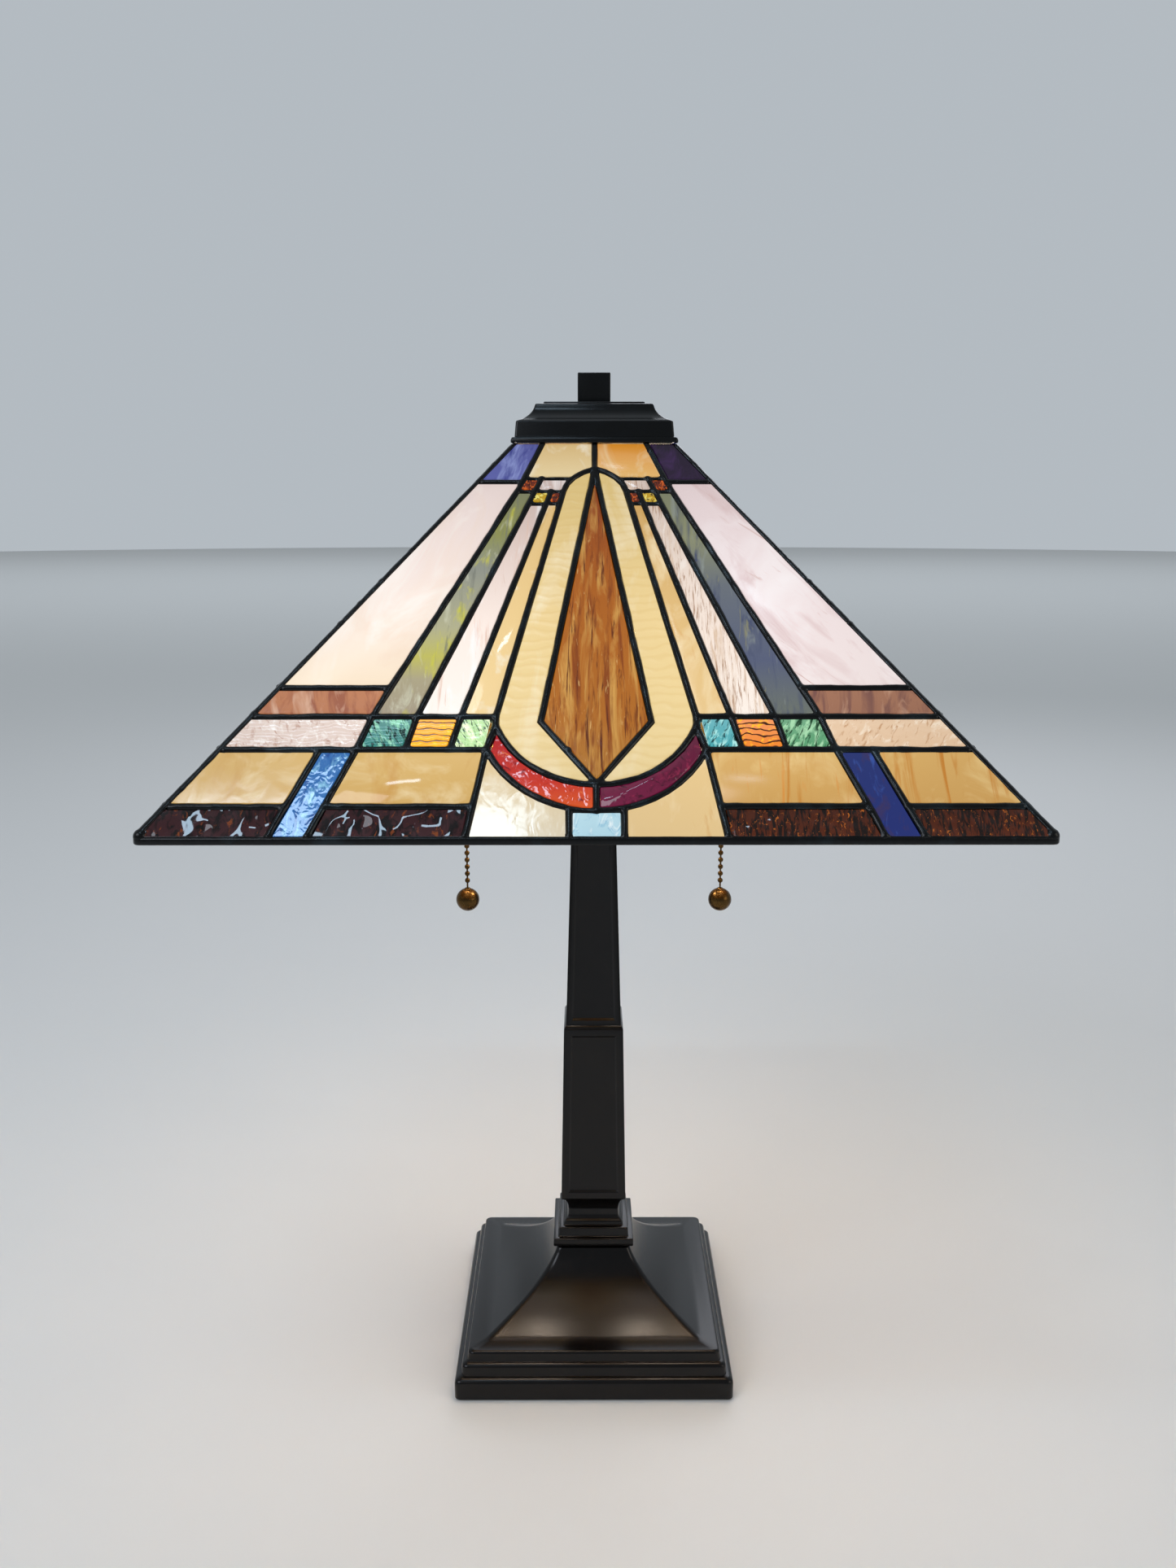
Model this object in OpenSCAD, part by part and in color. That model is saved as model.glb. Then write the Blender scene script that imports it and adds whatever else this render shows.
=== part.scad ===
// Mission-style stained glass table lamp: square pyramid shade of soldered opal
// glass on a tapered square post, with two pull-chain sockets under the shade.
// Millimetres, +Z up, origin at the centre of the felt pad on the table.
// The front of the lamp faces -Y.

/* [Shade] */
// Width across the rim, over the metal band
shade_w = 406; // [396:1:416]
// Height of the rim's lower edge above the table
rim_z = 370; // [366:0.5:374]
// Angle of the glass faces above the horizontal
slope = 47.3; // [46.8:0.1:47.6]
// Thickness of the sheet glass
glass_t = 3; // [2:0.5:3.5]
// Thickness of the solder lines through the shade
solder_t = 4.5; // [4:0.5:5]
// Half the width of an ordinary solder line
line_r = 1.7; // [1.4:0.1:1.9]
// Half the width of the solder lines round the small jewels
fine_r = 1.3; // [1:0.1:1.5]

/* [Stand] */
// Half the width of the foot
foot_r = 82; // [80:1:86]
// Half the width of the post where it meets the collar
post_r = 19.8; // [19:0.1:20]
// Height of the ledge between the lower and the upper post
ledge_z = 207.5; // [200:0.5:215]
// Height of the top of the upper post
post_top_z = 331; // [328:1:334]

/* [Lights] */
// Distance of each socket's centre from the post's centre line
socket_x = 73; // [70:1:76]
// How far in front of its socket each pull chain hangs
chain_out = 29; // [28:1:32]
// Number of beads in each pull chain
bead_count = 15; // [12:1:18]
// Radius of the ball at the end of each pull chain
ball_r = 6.7; // [6:0.1:7]

/* [Hidden] */
$fn = 64;

// The panel frame: x along the rim, y up the slope from the rim, z outwards.
panel_y = -(shade_w / 2 - 1.4);
panel_z = rim_z + 2.6;
panel_top = 235;
panel_low = 0.45;
top_cut_z = panel_z + panel_top * sin(slope) + 1.2;
hip_gap = 1.42;
hip_inset = 0.9;
hip_bead_r = 1.5;
hip_bead_up = 0.9;
hip_slope = cos(slope);
band_h = 4.3;

// Heights of the horizontal solder lines, measured up the slope.
row_rim = -0.1;
row_dark = 15.8;
row_tile = 45.3;
row_strip = 63.3;
row_bar = 79.3;
row_jewel_low = 193.5;
row_jewel_mid = 201.8;
row_panel = 208.3;
row_jewel_top = 210.5;
row_top = panel_top + 1.5;

// The lozenge, the arch round it and the crescents below it.
lozenge_top = 217.5;
lozenge_side = [25.5, 60.5];
lozenge_tip = 27.5;
arch_bend = [14, 212.5];
arch_shoulder = 0.536;
arch_foot_x = 46;
inner_arc_r = 49.5;
outer_arc_r = 55.1;
outer_arc_low = 13.5;
inner_arc_low = 27;
inner_arc_start = 8.5;
inner_arc_end = asin(arch_foot_x / inner_arc_r);
outer_arc_end = 63.9;
centre_tile_r = 12.2;
outer_arc_start = asin(centre_tile_r / outer_arc_r);
side_top = 16.2;
side_low = 46.2;

// Where the slanting lines of the lowest row meet the rim.
crescent_foot = 57.7;
strip_foot = [126.8, 144.1];

// Stand
collar_z = 62.9;
neck_z = 86;
shaft_r = 5;
shaft_fit = 0.08;
inlet_z = 5.9;
inlet_r = 3.4;
boss_x = 60;

// Lights
arm_z = post_top_z + 15;
socket_z = post_top_z + 27;
bulb_z = socket_z + 50;
bead_r = 1.5;
bead_pitch = 4.1;
guide_up = 12.4;
guide_r = 2.7;
bell_z = socket_z + 2;
pivot_z = bell_z;
ball_z = pivot_z - bead_count * bead_pitch - ball_r - 0.6;

// Top of the shade
cap_z = top_cut_z + 0.1;
hub_z = top_cut_z - 4;
finial_z = cap_z + 22.6;
finial_h = 16.3;
finial_r = 9;

GLASS = [
    "glass_lozenge", "glass_arch", "glass_caramel", "glass_corner_violet",
    "glass_pale_panel", "glass_red_jewel", "glass_gold_jewel", "glass_moss_strip",
    "glass_pink_opal", "glass_russet_bar", "glass_teal_tile", "glass_orange_tile",
    "glass_crescent", "glass_blue_strip", "glass_dark_bar", "glass_sky_tile"
];

// ---- Plane geometry ----

// Distance along x of the line from a to b at height y.
function on_line(a, b, y) = a[0] + (b[0] - a[0]) * (y - a[1]) / (b[1] - a[1]);

// Twice the signed area of an outline, positive when it runs anticlockwise.
function turn(p) = [for (i = [0:len(p) - 1]) cross(p[i], p[(i + 1) % len(p)])]
    * [for (i = p) 1];

// Unit normal to the left of the edge from a to b.
function left_of(a, b) = [a[1] - b[1], b[0] - a[0]] / norm(b - a);

// An outline moved inwards by d, whichever way it runs.
function inset(p, d) = let (s = turn(p) > 0 ? 1 : -1, n = len(p)) [
    for (i = [0:n - 1]) let (
        u = s * left_of(p[(i + n - 1) % n], p[i]),
        v = s * left_of(p[i], p[(i + 1) % n])
    ) p[i] + (u + v) * d / (1 + u * v)
];

function flipped(p) = [for (q = p) [-q[0], q[1]]];

// Points of a quadratic curve from a to c, drawn towards b, between two shares of it.
function curve(a, b, c, from = 0, to = 1, steps = 8) = [
    for (i = [0:steps]) let (k = from + (to - from) * i / steps)
        a * (1 - k) * (1 - k) + b * 2 * k * (1 - k) + c * k * k
];

// Points of an arc whose lowest point is at [0, low], from one angle to another.
function low_arc(r, low, from, to, steps) = [
    for (i = [0:steps]) let (a = from + (to - from) * i / steps)
        [r * sin(a), low + r - r * cos(a)]
];

// ---- The glass design, right half of one face ----

function hip(y, back_by = hip_inset) =
    -panel_y - y * hip_slope - back_by * sqrt(1 + hip_slope * hip_slope);
function ray_a(y) = on_line([22.5, row_jewel_mid], [62.2, row_strip], y);
function ray_b(y) = on_line([30.7, row_jewel_mid], [82.6, row_strip], y);
function ray_c(y) = on_line([37, row_panel], [103.2, row_strip], y);
function ray_d(y) = on_line([27, row_top], [36.4, row_jewel_top], y);
function arch_side(y) = on_line([side_top, row_jewel_mid], [side_low, row_strip], y);
function strip_in(y) = on_line([108.8, row_tile], [strip_foot[0], row_rim], y);
function strip_out(y) = on_line([125.6, row_tile], [strip_foot[1], row_rim], y);
function crescent_side(y) = on_line([50, row_tile], [crescent_foot, row_rim], y);

// The four-sided piece between two lines, from one height to another.
function between(left_low, right_low, low, left_high, right_high, high) = [
    [left_low, low], [right_low, low], [right_high, high], [left_high, high]
];

function arch_crown(from, to, steps) =
    curve([0, lozenge_top], arch_bend, [side_top, row_jewel_mid], from, to, steps);

LOZENGE = [
    [0, lozenge_tip], lozenge_side, [0, lozenge_top], [-lozenge_side[0], lozenge_side[1]]
];
ARCH = concat(
    arch_crown(0, 1, 4), [[side_low, row_strip]],
    low_arc(inner_arc_r, inner_arc_low, inner_arc_end, inner_arc_start, 7),
    [[0, lozenge_tip], lozenge_side]
);
TOP_CARAMEL = concat(
    [[0, row_top], [27, row_top], [36.4, row_jewel_top]],
    arch_crown(arch_shoulder, 0, 4)
);
CRESCENT = concat(
    low_arc(inner_arc_r, inner_arc_low, 0, inner_arc_end, 8),
    low_arc(outer_arc_r, outer_arc_low, outer_arc_end, 0, 9)
);
CORNER_CARAMEL = concat(
    low_arc(outer_arc_r, outer_arc_low, outer_arc_start, outer_arc_end, 7),
    [[50, row_tile], [crescent_foot, row_rim], [centre_tile_r, row_rim]]
);
PINK_TILE = concat(
    arch_crown(arch_shoulder, 1, 3),
    [[30.7, row_jewel_mid], [ray_b(row_jewel_top), row_jewel_top]]
);

// Outlines of one kind of glass on the right half, on the lines' centres.
function half_outlines(kind) =
    kind == "glass_arch" ? [ARCH]
    : kind == "glass_caramel" ? [
        TOP_CARAMEL, CORNER_CARAMEL,
        between(side_low, ray_a(row_strip), row_strip,
            arch_side(row_jewel_low), ray_a(row_jewel_low), row_jewel_low),
        between(crescent_side(row_dark), strip_in(row_dark), row_dark,
            crescent_side(row_tile), strip_in(row_tile), row_tile),
        between(strip_out(row_dark), hip(row_dark), row_dark,
            strip_out(row_tile), hip(row_tile), row_tile)
    ]
    : kind == "glass_corner_violet" ? [
        between(37, hip(row_panel), row_panel, 27, hip(row_top), row_top)]
    : kind == "glass_pale_panel" ? [
        between(ray_c(row_bar), hip(row_bar), row_bar, 37, hip(row_panel), row_panel)]
    : kind == "glass_moss_strip" ? [
        between(82.6, 103.2, row_strip, 30.7, ray_c(row_jewel_mid), row_jewel_mid)]
    : kind == "glass_pink_opal" ? [
        between(62.2, 82.6, row_strip, ray_a(row_jewel_low), ray_b(row_jewel_low), row_jewel_low),
        between(108.8, hip(row_tile), row_tile, 103.2, hip(row_strip), row_strip)
    ]
    : kind == "glass_russet_bar" ? [
        between(103.2, hip(row_strip), row_strip, ray_c(row_bar), hip(row_bar), row_bar)]
    : kind == "glass_teal_tile" ? [
        between(86.9, 108.8, row_tile, 82.6, 103.2, row_strip),
        between(50, 66.6, row_tile, 46.8, 62.2, row_strip)
    ]
    : kind == "glass_orange_tile" ? [
        between(66.6, 86.9, row_tile, 62.2, 82.6, row_strip)]
    : kind == "glass_crescent" ? [CRESCENT]
    : kind == "glass_blue_strip" ? [
        between(strip_foot[0], strip_foot[1], row_rim, 108.8, 125.6, row_tile)]
    : kind == "glass_dark_bar" ? [
        between(crescent_foot, strip_foot[0], row_rim,
            crescent_side(row_dark), strip_in(row_dark), row_dark),
        between(strip_foot[1], hip(row_rim), row_rim,
            strip_out(row_dark), hip(row_dark), row_dark)
    ]
    : [];

// The same for the small jewels, whose solder lines are finer.
function jewel_outlines(kind) =
    kind == "glass_red_jewel" ? [
        between(30.7, ray_c(row_jewel_mid), row_jewel_mid,
            ray_b(row_jewel_top), 36.4, row_jewel_top),
        between(arch_side(row_jewel_low), ray_a(row_jewel_low), row_jewel_low,
            side_top, 22.5, row_jewel_mid)
    ]
    : kind == "glass_gold_jewel" ? [
        between(ray_a(row_jewel_low), ray_b(row_jewel_low), row_jewel_low,
            22.5, 30.7, row_jewel_mid)]
    : kind == "glass_pink_opal" ? [PINK_TILE]
    : [];

// Outlines that lie across the centre line of a face.
function whole_outlines(kind) =
    kind == "glass_lozenge" ? [LOZENGE]
    : kind == "glass_sky_tile" ? [
        between(-centre_tile_r, centre_tile_r, row_rim,
            -centre_tile_r, centre_tile_r, outer_arc_low + 0.6)]
    : [];

// Every cut edge of one kind of glass on one face.
function cut_outlines(kind) = let (
    half = concat(
        [for (p = half_outlines(kind)) inset(p, line_r)],
        [for (p = jewel_outlines(kind)) inset(p, fine_r)]
    )
) concat(
    half,
    [for (p = half) flipped(p)],
    [for (p = whole_outlines(kind)) inset(p, line_r)]
);

// ---- Helpers ----

module on_face(turn_by = 0)
    rotate([0, 0, turn_by])
        translate([0, panel_y, panel_z])
            rotate([slope, 0, 0])
                children();

module sheet(outline, t)
    translate([0, 0, -t / 2])
        linear_extrude(t)
            polygon(outline);

// A solid of square section whose half width follows a list of [half width, height].
module square_turned(profile) {
    wide = 2 * max([for (p = profile) p[0]]) + 4;
    outline = concat(profile, [for (i = [len(profile) - 1:-1:0]) [-profile[i][0], profile[i][1]]]);
    intersection() {
        rotate([90, 0, 0]) linear_extrude(wide, center = true) polygon(outline);
        rotate([90, 0, 90]) linear_extrude(wide, center = true) polygon(outline);
    }
}

module tube(r, inner, h)
    difference() {
        cylinder(r = r, h = h);
        translate([0, 0, -1]) cylinder(r = inner, h = h + 2);
    }

module hex_nut(z, across, h)
    translate([0, 0, z])
        difference() {
            cylinder(r = across / sqrt(3), h = h, $fn = 6);
            translate([0, 0, -1]) cylinder(r = shaft_r + 0.02, h = h + 2);
        }

module both_sides() {
    children();
    mirror([1, 0, 0]) children();
}

// ---- Foot ----

module foot_casting() {
    outside = concat(
        [[foot_r, 0.4]],
        curve([foot_r, 9.5], [foot_r, 13.5], [foot_r - 4, 13.5], steps = 5),
        curve([foot_r - 4, 17.8], [foot_r - 4, 21], [foot_r - 7.2, 21], steps = 4),
        curve([foot_r - 7.6, 25.2], [foot_r - 7.6, 27], [foot_r - 9.6, 27.1], steps = 3),
        curve([foot_r - 17, 27.4], [29, 44], [22.6, collar_z], steps = 14)
    );
    inside = concat(
        [[foot_r - 4, -1], [foot_r - 4, 8.8], [foot_r - 12.5, 16], [foot_r - 13.2, 20.4]],
        curve([foot_r - 19.5, 23], [25.5, 41], [19, collar_z - 4.4], steps = 8)
    );
    color("#2a2421") difference() {
        union() {
            difference() {
                square_turned(outside);
                square_turned(inside);
            }
            for (x = [-boss_x, boss_x], y = [-boss_x, boss_x])
                translate([x, y, 9.7]) cylinder(r = 4.5, h = 15);
        }
        translate([0, 0, collar_z - 10]) cylinder(r = shaft_r + 0.4, h = 20);
        for (x = [-boss_x, boss_x], y = [-boss_x, boss_x])
            translate([x, y, 9]) cylinder(r = 2, h = 11);
        translate([0, foot_r - 6, inlet_z]) rotate([-90, 0, 0]) cylinder(r = inlet_r, h = 10);
    }
}

module ballast_plate()
    color("#5b5d60") translate([0, 0, 3.6]) difference() {
        translate([-70, -70, 0]) cube([140, 140, 6]);
        for (x = [-boss_x, boss_x], y = [-boss_x, boss_x])
            translate([x, y, -1]) cylinder(r = 2.3, h = 8);
        translate([0, 0, -1]) cylinder(r = 12, h = 8);
    }

module ballast_screws()
    color("#8d8f92") for (x = [-boss_x, boss_x], y = [-boss_x, boss_x]) translate([x, y, 0]) difference() {
        union() {
            translate([0, 0, 2.1]) cylinder(r = 3.8, h = 1.5);
            translate([0, 0, 3.5]) cylinder(r = 1.98, h = 14);
        }
        translate([-3, -0.5, 1.9]) cube([6, 1, 0.9]);
    }

module felt_pad()
    color("#2f5a3c") translate([-77, -77, 0]) cube([154, 154, 2]);

module cord_bushing()
    color("#161616") translate([0, foot_r, inlet_z]) rotate([90, 0, 0]) difference() {
        union() {
            translate([0, 0, -1.2]) cylinder(r = inlet_r + 0.7, h = 1.15);
            translate([0, 0, -0.1]) cylinder(r = inlet_r - 0.02, h = 6.1);
        }
        translate([0, 0, -3]) cylinder(r = inlet_r - 0.7, h = 12);
    }

// ---- Post ----

module lamp_pipe()
    color("#b9a36a") translate([0, 0, 46]) tube(shaft_r, 3.8, post_top_z - 46 + 9);

module pipe_lock_washer()
    color("#8d8f92") translate([0, 0, collar_z - 6.2]) tube(9.5, shaft_r + 0.1, 1.7);

module pipe_nuts() color("#8d8f92") {
    hex_nut(collar_z - 9.4, 14, 3);
    hex_nut(post_top_z + 5.6, 14, 3);
}

module post_collar() {
    profile = concat(
        [[22, collar_z + 0.05], [22, 65], [24.2, 65], [24.7, 65.6], [24.7, 69.4], [24.2, 70]],
        [[21.4, 70], [21.4, 75.2], [20.8, 75.8], [18.1, 76], [18.1, 78.4]],
        curve([17.4, 78.8], [15.7, 80], [15.5, 82.6], steps = 3),
        [[15.4, neck_z]]
    );
    color("#2a2421") difference() {
        square_turned(profile);
        translate([0, 0, collar_z - 1]) cylinder(r = shaft_r + 0.4, h = 40);
    }
}

// One tapered square post with a sunk panel on each face.
module tapered_post(z0, r0, z1, r1, hollow, border, flare = []) {
    lean = atan((r0 - r1) / (z1 - z0));
    long = (z1 - z0) / cos(lean);
    sunk = 1.1;
    difference() {
        square_turned(concat(flare, [[r0, z0], [r1, z1]]));
        translate([-hollow, -hollow, neck_z - 1]) cube([2 * hollow, 2 * hollow, 400]);
        for (a = [0:90:270])
            rotate([0, 0, a]) translate([0, -r0, z0]) rotate([90 - lean, 0, 0])
                translate([0, 0, -sunk]) linear_extrude(5)
                    polygon([
                        [-(r0 - border), border], [r0 - border, border],
                        [r1 - border, long - border], [-(r1 - border), long - border]
                    ]);
    }
}

module lower_post() {
    flare = curve([15.4, neck_z + 0.05], [15.8, 92], [post_r - 0.6, 94], steps = 4);
    color("#2a2421") difference() {
        tapered_post(94.5, post_r, ledge_z - 1.8, 17.85, 10, 4.4, flare);
        translate([-30, -30, ledge_z - 1.8]) cube([60, 60, 10]);
    }
}

module upper_post() {
    ledge = [[17.85, ledge_z - 1.75], [16.8, ledge_z]];
    color("#2a2421") tapered_post(ledge_z, 16.5, post_top_z, 13.1, 7.6, 3.4, ledge);
}

module post_top_plate()
    color("#2a2421") difference() {
        square_turned([[13.8, post_top_z + 0.05], [13.8, post_top_z + 2], [12.8, post_top_z + 3]]);
        cylinder(r = shaft_r + 0.1, h = 500);
    }

// ---- Light cluster ----

module cluster_body()
    color("#9a7a3a") translate([0, 0, post_top_z + 3.05]) difference() {
        rotate_extrude() polygon([
            [shaft_r + 0.1, 0], [13, 0], [16, 3], [16, 22], [14, 22], [14, 2.5], [shaft_r + 0.1, 2.5]
        ]);
        translate([-20, 0, arm_z - post_top_z - 3.05]) rotate([0, 90, 0]) cylinder(r = 5.02, h = 40);
    }

module cluster_cover()
    color("#9a7a3a") translate([0, 0, post_top_z + 25.1]) rotate_extrude() polygon([
        [shaft_r + 0.02, 0], [16.4, 0], [16.4, 1.6], [9, 4.2], [shaft_r + 0.02, 4.2]
    ]);

module cluster_arms() both_sides() color("#9a7a3a") {
    bend = 8;
    difference() {
        union() {
            translate([14.6, 0, arm_z]) rotate([0, 90, 0]) cylinder(r = 5, h = socket_x - bend - 14.6);
            translate([socket_x - bend, 0, arm_z + bend]) rotate([90, 0, 0])
                rotate_extrude(angle = 90, start = 270) translate([bend, 0]) circle(r = 5);
            translate([socket_x, 0, arm_z + bend]) cylinder(r = 5, h = 7);
        }
        translate([10, 0, arm_z]) rotate([0, 90, 0]) cylinder(r = 3.6, h = socket_x - bend - 10);
        translate([socket_x - bend, 0, arm_z + bend]) rotate([90, 0, 0])
            rotate_extrude(angle = 90, start = 270) translate([bend, 0]) circle(r = 3.6);
        translate([socket_x, 0, arm_z + bend]) cylinder(r = 3.6, h = 10);
    }
}

module riser_rod()
    color("#b9a36a") translate([0, 0, post_top_z + 20])
        cylinder(r = shaft_r, h = finial_z + 8 - post_top_z - 20);

module riser_lock_nuts() color("#9a7a3a") {
    hex_nut(hub_z - 4.3, 16, 4);
    hex_nut(post_top_z + 29.4, 16, 4);
}

// ---- Sockets ----

module socket_caps() both_sides()
    color("#a9853f") translate([socket_x, 0, socket_z]) difference() {
        rotate_extrude() polygon([
            [5.05, 0], [7, 0], [8, 3.4], [16, 6], [19.6, 10], [20.4, 17],
            [19.4, 17], [18.7, 10.6], [15.5, 7], [7, 4.6], [5.05, 4.4]
        ]);
        translate([0, -10, guide_up]) rotate([90, 0, 0]) cylinder(r = guide_r + 0.05, h = 14);
    }

module socket_shells() both_sides()
    color("#a9853f") translate([socket_x, 0, socket_z + 17.1])
        rotate_extrude() polygon([
            [19.2, 0], [20.3, 0], [20.3, 3], [19.9, 4], [19.9, 33], [20.6, 34.5], [20.6, 36], [19.2, 36]
        ]);

module socket_liners() both_sides()
    color("#3a332c") translate([socket_x, 0, socket_z + 18]) tube(19.1, 18.2, 34.6);

module switch_bodies() both_sides()
    color("#1d1b1a") translate([socket_x, 0, socket_z]) difference() {
        translate([0, 0, 8]) rotate_extrude() polygon([[0, 0], [13, 0], [17.6, 4], [17.6, 13.8], [0, 13.8]]);
        translate([0, -8, guide_up]) rotate([90, 0, 0]) cylinder(r = guide_r + 0.05, h = 14);
    }

module screw_shells() both_sides()
    color("#c9a24c") translate([socket_x, 0, socket_z + 22]) tube(14.4, 13.9, 26);

module centre_contacts() both_sides()
    color("#c9a24c") translate([socket_x, 0, socket_z + 21.9]) {
        cylinder(r = 3.2, h = 1.5);
        translate([-7, -2, 0]) cube([9, 4, 0.8]);
    }

// The guide that the chain leaves the socket through: a side tube and a flared mouth.
module chain_bells() both_sides()
    color("#a9853f") translate([socket_x, 0, 0]) difference() {
        union() {
            translate([0, -12, socket_z + guide_up]) rotate([90, 0, 0])
                cylinder(r = guide_r, h = chain_out - 12);
            translate([0, -chain_out, socket_z + guide_up]) sphere(r = 3.3);
            translate([0, -chain_out, bell_z - 2]) rotate_extrude() polygon([
                [0, 0], [3.6, 0], [3.9, 0.6], [2.9, 2.6], [2.9, 12], [0, 12]
            ]);
        }
        translate([0, -10, socket_z + guide_up]) rotate([90, 0, 0])
            cylinder(r = 1.9, h = chain_out - 10);
        translate([0, -chain_out, bell_z - 3]) cylinder(r = 2.1, h = 13.4);
        translate([0, -chain_out, bell_z - 2.1]) cylinder(r1 = 3.2, r2 = 2.05, h = 1.8);
    }

// ---- Bulbs ----

module bulb_glass(x)
    color("#fff3da") translate([x, 0, bulb_z]) difference() {
        rotate_extrude() polygon(concat(
            [[0, -4], [11.6, -4], [12.4, 2]],
            curve([13, 8], [16, 17], [24, 27], steps = 5),
            [for (a = [-30:12:90]) [29.5 * cos(a), 42 + 29.5 * sin(a)]]
        ));
        rotate_extrude() polygon(concat(
            [[0, -2.5], [10.6, -2.5], [11.4, 2]],
            curve([12, 8.3], [15, 17.6], [23, 27.8], steps = 5),
            [for (a = [-30:12:90]) [28.4 * cos(a), 42 + 28.4 * sin(a)]]
        ));
    }

module bulb_base(x)
    color("#b8babd") translate([x, 0, bulb_z]) rotate_extrude() polygon(concat(
        [[0, -26.4], [3, -26.4], [4.5, -24.6], [9.5, -23], [12.6, -21]],
        [for (k = [0:5]) each [[13.1, -20.4 + 3 * k], [12.5, -18.9 + 3 * k]]],
        [[13, -2.6], [13, 0.6], [12.4, 0.6], [11.7, -4.1], [0, -4.1]]
    ));

module left_bulb_glass() bulb_glass(-socket_x);
module right_bulb_glass() bulb_glass(socket_x);
module left_bulb_base() bulb_base(-socket_x);
module right_bulb_base() bulb_base(socket_x);

// ---- Pull chains ----

module pull_link(x)
    color("#b08a42") translate([x, -chain_out, pivot_z]) {
        translate([0, 0, 1.6]) cylinder(r = 0.5, h = 5);
        translate([0, 0, 7.2]) sphere(r = bead_r, $fn = 32);
    }

module bead_chain(x)
    color("#b08a42") translate([x, -chain_out, pivot_z]) {
        for (k = [0:bead_count - 1])
            translate([0, 0, -k * bead_pitch]) sphere(r = bead_r, $fn = 32);
        translate([0, 0, -bead_count * bead_pitch - 3]) cylinder(r = 0.5, h = bead_count * bead_pitch + 3);
    }

module pull_ball(x)
    color("#a67c3c") translate([x, -chain_out, ball_z]) difference() {
        union() {
            sphere(r = ball_r);
            cylinder(r = 1.8, h = ball_r + 0.55);
        }
        sphere(r = ball_r - 0.9);
        cylinder(r = 0.9, h = ball_r + 2);
    }

module left_pull_link() pull_link(-socket_x);
module right_pull_link() pull_link(socket_x);
module left_bead_chain() bead_chain(-socket_x);
module right_bead_chain() bead_chain(socket_x);
module left_pull_ball() pull_ball(-socket_x);
module right_pull_ball() pull_ball(socket_x);

// ---- Shade ----

// Every piece of one kind of glass, on all four faces.
module glass(kind, tint)
    color(tint, 0.8) for (a = [0:90:270]) on_face(a)
        for (p = cut_outlines(kind)) sheet(p, glass_t);

module glass_lozenge() glass("glass_lozenge", "#b5722a");
module glass_arch() glass("glass_arch", "#f0d894");
module glass_caramel() glass("glass_caramel", "#e8bf76");
module glass_corner_violet() glass("glass_corner_violet", "#5b5fa8");
module glass_pale_panel() glass("glass_pale_panel", "#f3ded0");
module glass_red_jewel() glass("glass_red_jewel", "#b3420f");
module glass_gold_jewel() glass("glass_gold_jewel", "#d9b12c");
module glass_moss_strip() glass("glass_moss_strip", "#8b8c6a");
module glass_pink_opal() glass("glass_pink_opal", "#ecd2c2");
module glass_russet_bar() glass("glass_russet_bar", "#b07a5c");
module glass_teal_tile() glass("glass_teal_tile", "#4fa89c");
module glass_orange_tile() glass("glass_orange_tile", "#e08a12");
module glass_crescent() glass("glass_crescent", "#b5303a");
module glass_blue_strip() glass("glass_blue_strip", "#3f62b0");
module glass_dark_bar() glass("glass_dark_bar", "#4a2413");
module glass_sky_tile() glass("glass_sky_tile", "#bfe0ea");

// The solder lines of one face: a thin slab with a hole for every piece of glass.
module solder_lattice(face_angle) {
    low = panel_low;
    high = panel_top + 6;
    low_r = hip(low, hip_gap);
    high_r = hip(high, hip_gap);
    color("#14171a") rotate([0, 0, face_angle]) intersection() {
        on_face() difference() {
            sheet(between(-low_r, low_r, low, -high_r, high_r, high), solder_t);
            for (kind = GLASS, p = cut_outlines(kind)) sheet(p, solder_t + 2);
        }
        translate([-300, -300, 0]) cube([600, 600, top_cut_z]);
    }
}

module solder_front() solder_lattice(0);
module solder_right() solder_lattice(90);
module solder_back() solder_lattice(180);
module solder_left() solder_lattice(270);

module hip_beads() {
    start = 2.8;
    rise = top_cut_z - panel_z - start - 2;
    run = rise / tan(slope);
    in_by = start / tan(slope);
    out = [sin(slope), -sin(slope), 2 * cos(slope)];
    color("#14171a") for (a = [0:90:270]) rotate([0, 0, a])
        translate(out * hip_bead_up / norm(out))
            translate([-panel_y - in_by, panel_y + in_by, panel_z + start])
                rotate([0, -atan2(run * sqrt(2), rise), -45])
                    cylinder(r = hip_bead_r, h = norm([run, run, rise]));
}

// [half width, height] of a point of a face, y up the slope and n out from its middle.
function in_profile(y, n) =
    [-panel_y - y * cos(slope) + n * sin(slope), panel_z + y * sin(slope) + n * cos(slope)];

module rim_band() {
    bore = shade_w / 2 - 6;
    color("#1b1713") difference() {
        square_turned([
            [shade_w / 2, rim_z], [shade_w / 2, rim_z + band_h],
            in_profile(panel_low - 0.1, 1.2), in_profile(panel_low - 0.1, -solder_t / 2)
        ]);
        translate([-bore, -bore, rim_z - 1]) cube([2 * bore, 2 * bore, 2 * band_h]);
    }
}

module top_ring()
    color("#7a6232") difference() {
        translate([-39, -39, cap_z]) cube([78, 78, 2]);
        translate([-30, -30, cap_z - 1]) cube([60, 60, 4]);
    }

module shade_spider()
    color("#7a6232") difference() {
        union() {
            translate([0, 0, hub_z]) cylinder(r = 9, h = 8);
            for (a = [0, 90]) rotate([0, 0, a]) translate([-37, -4, top_cut_z - 2]) cube([74, 8, 2]);
        }
        cylinder(r = shaft_r + shaft_fit, h = 700);
    }

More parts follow.
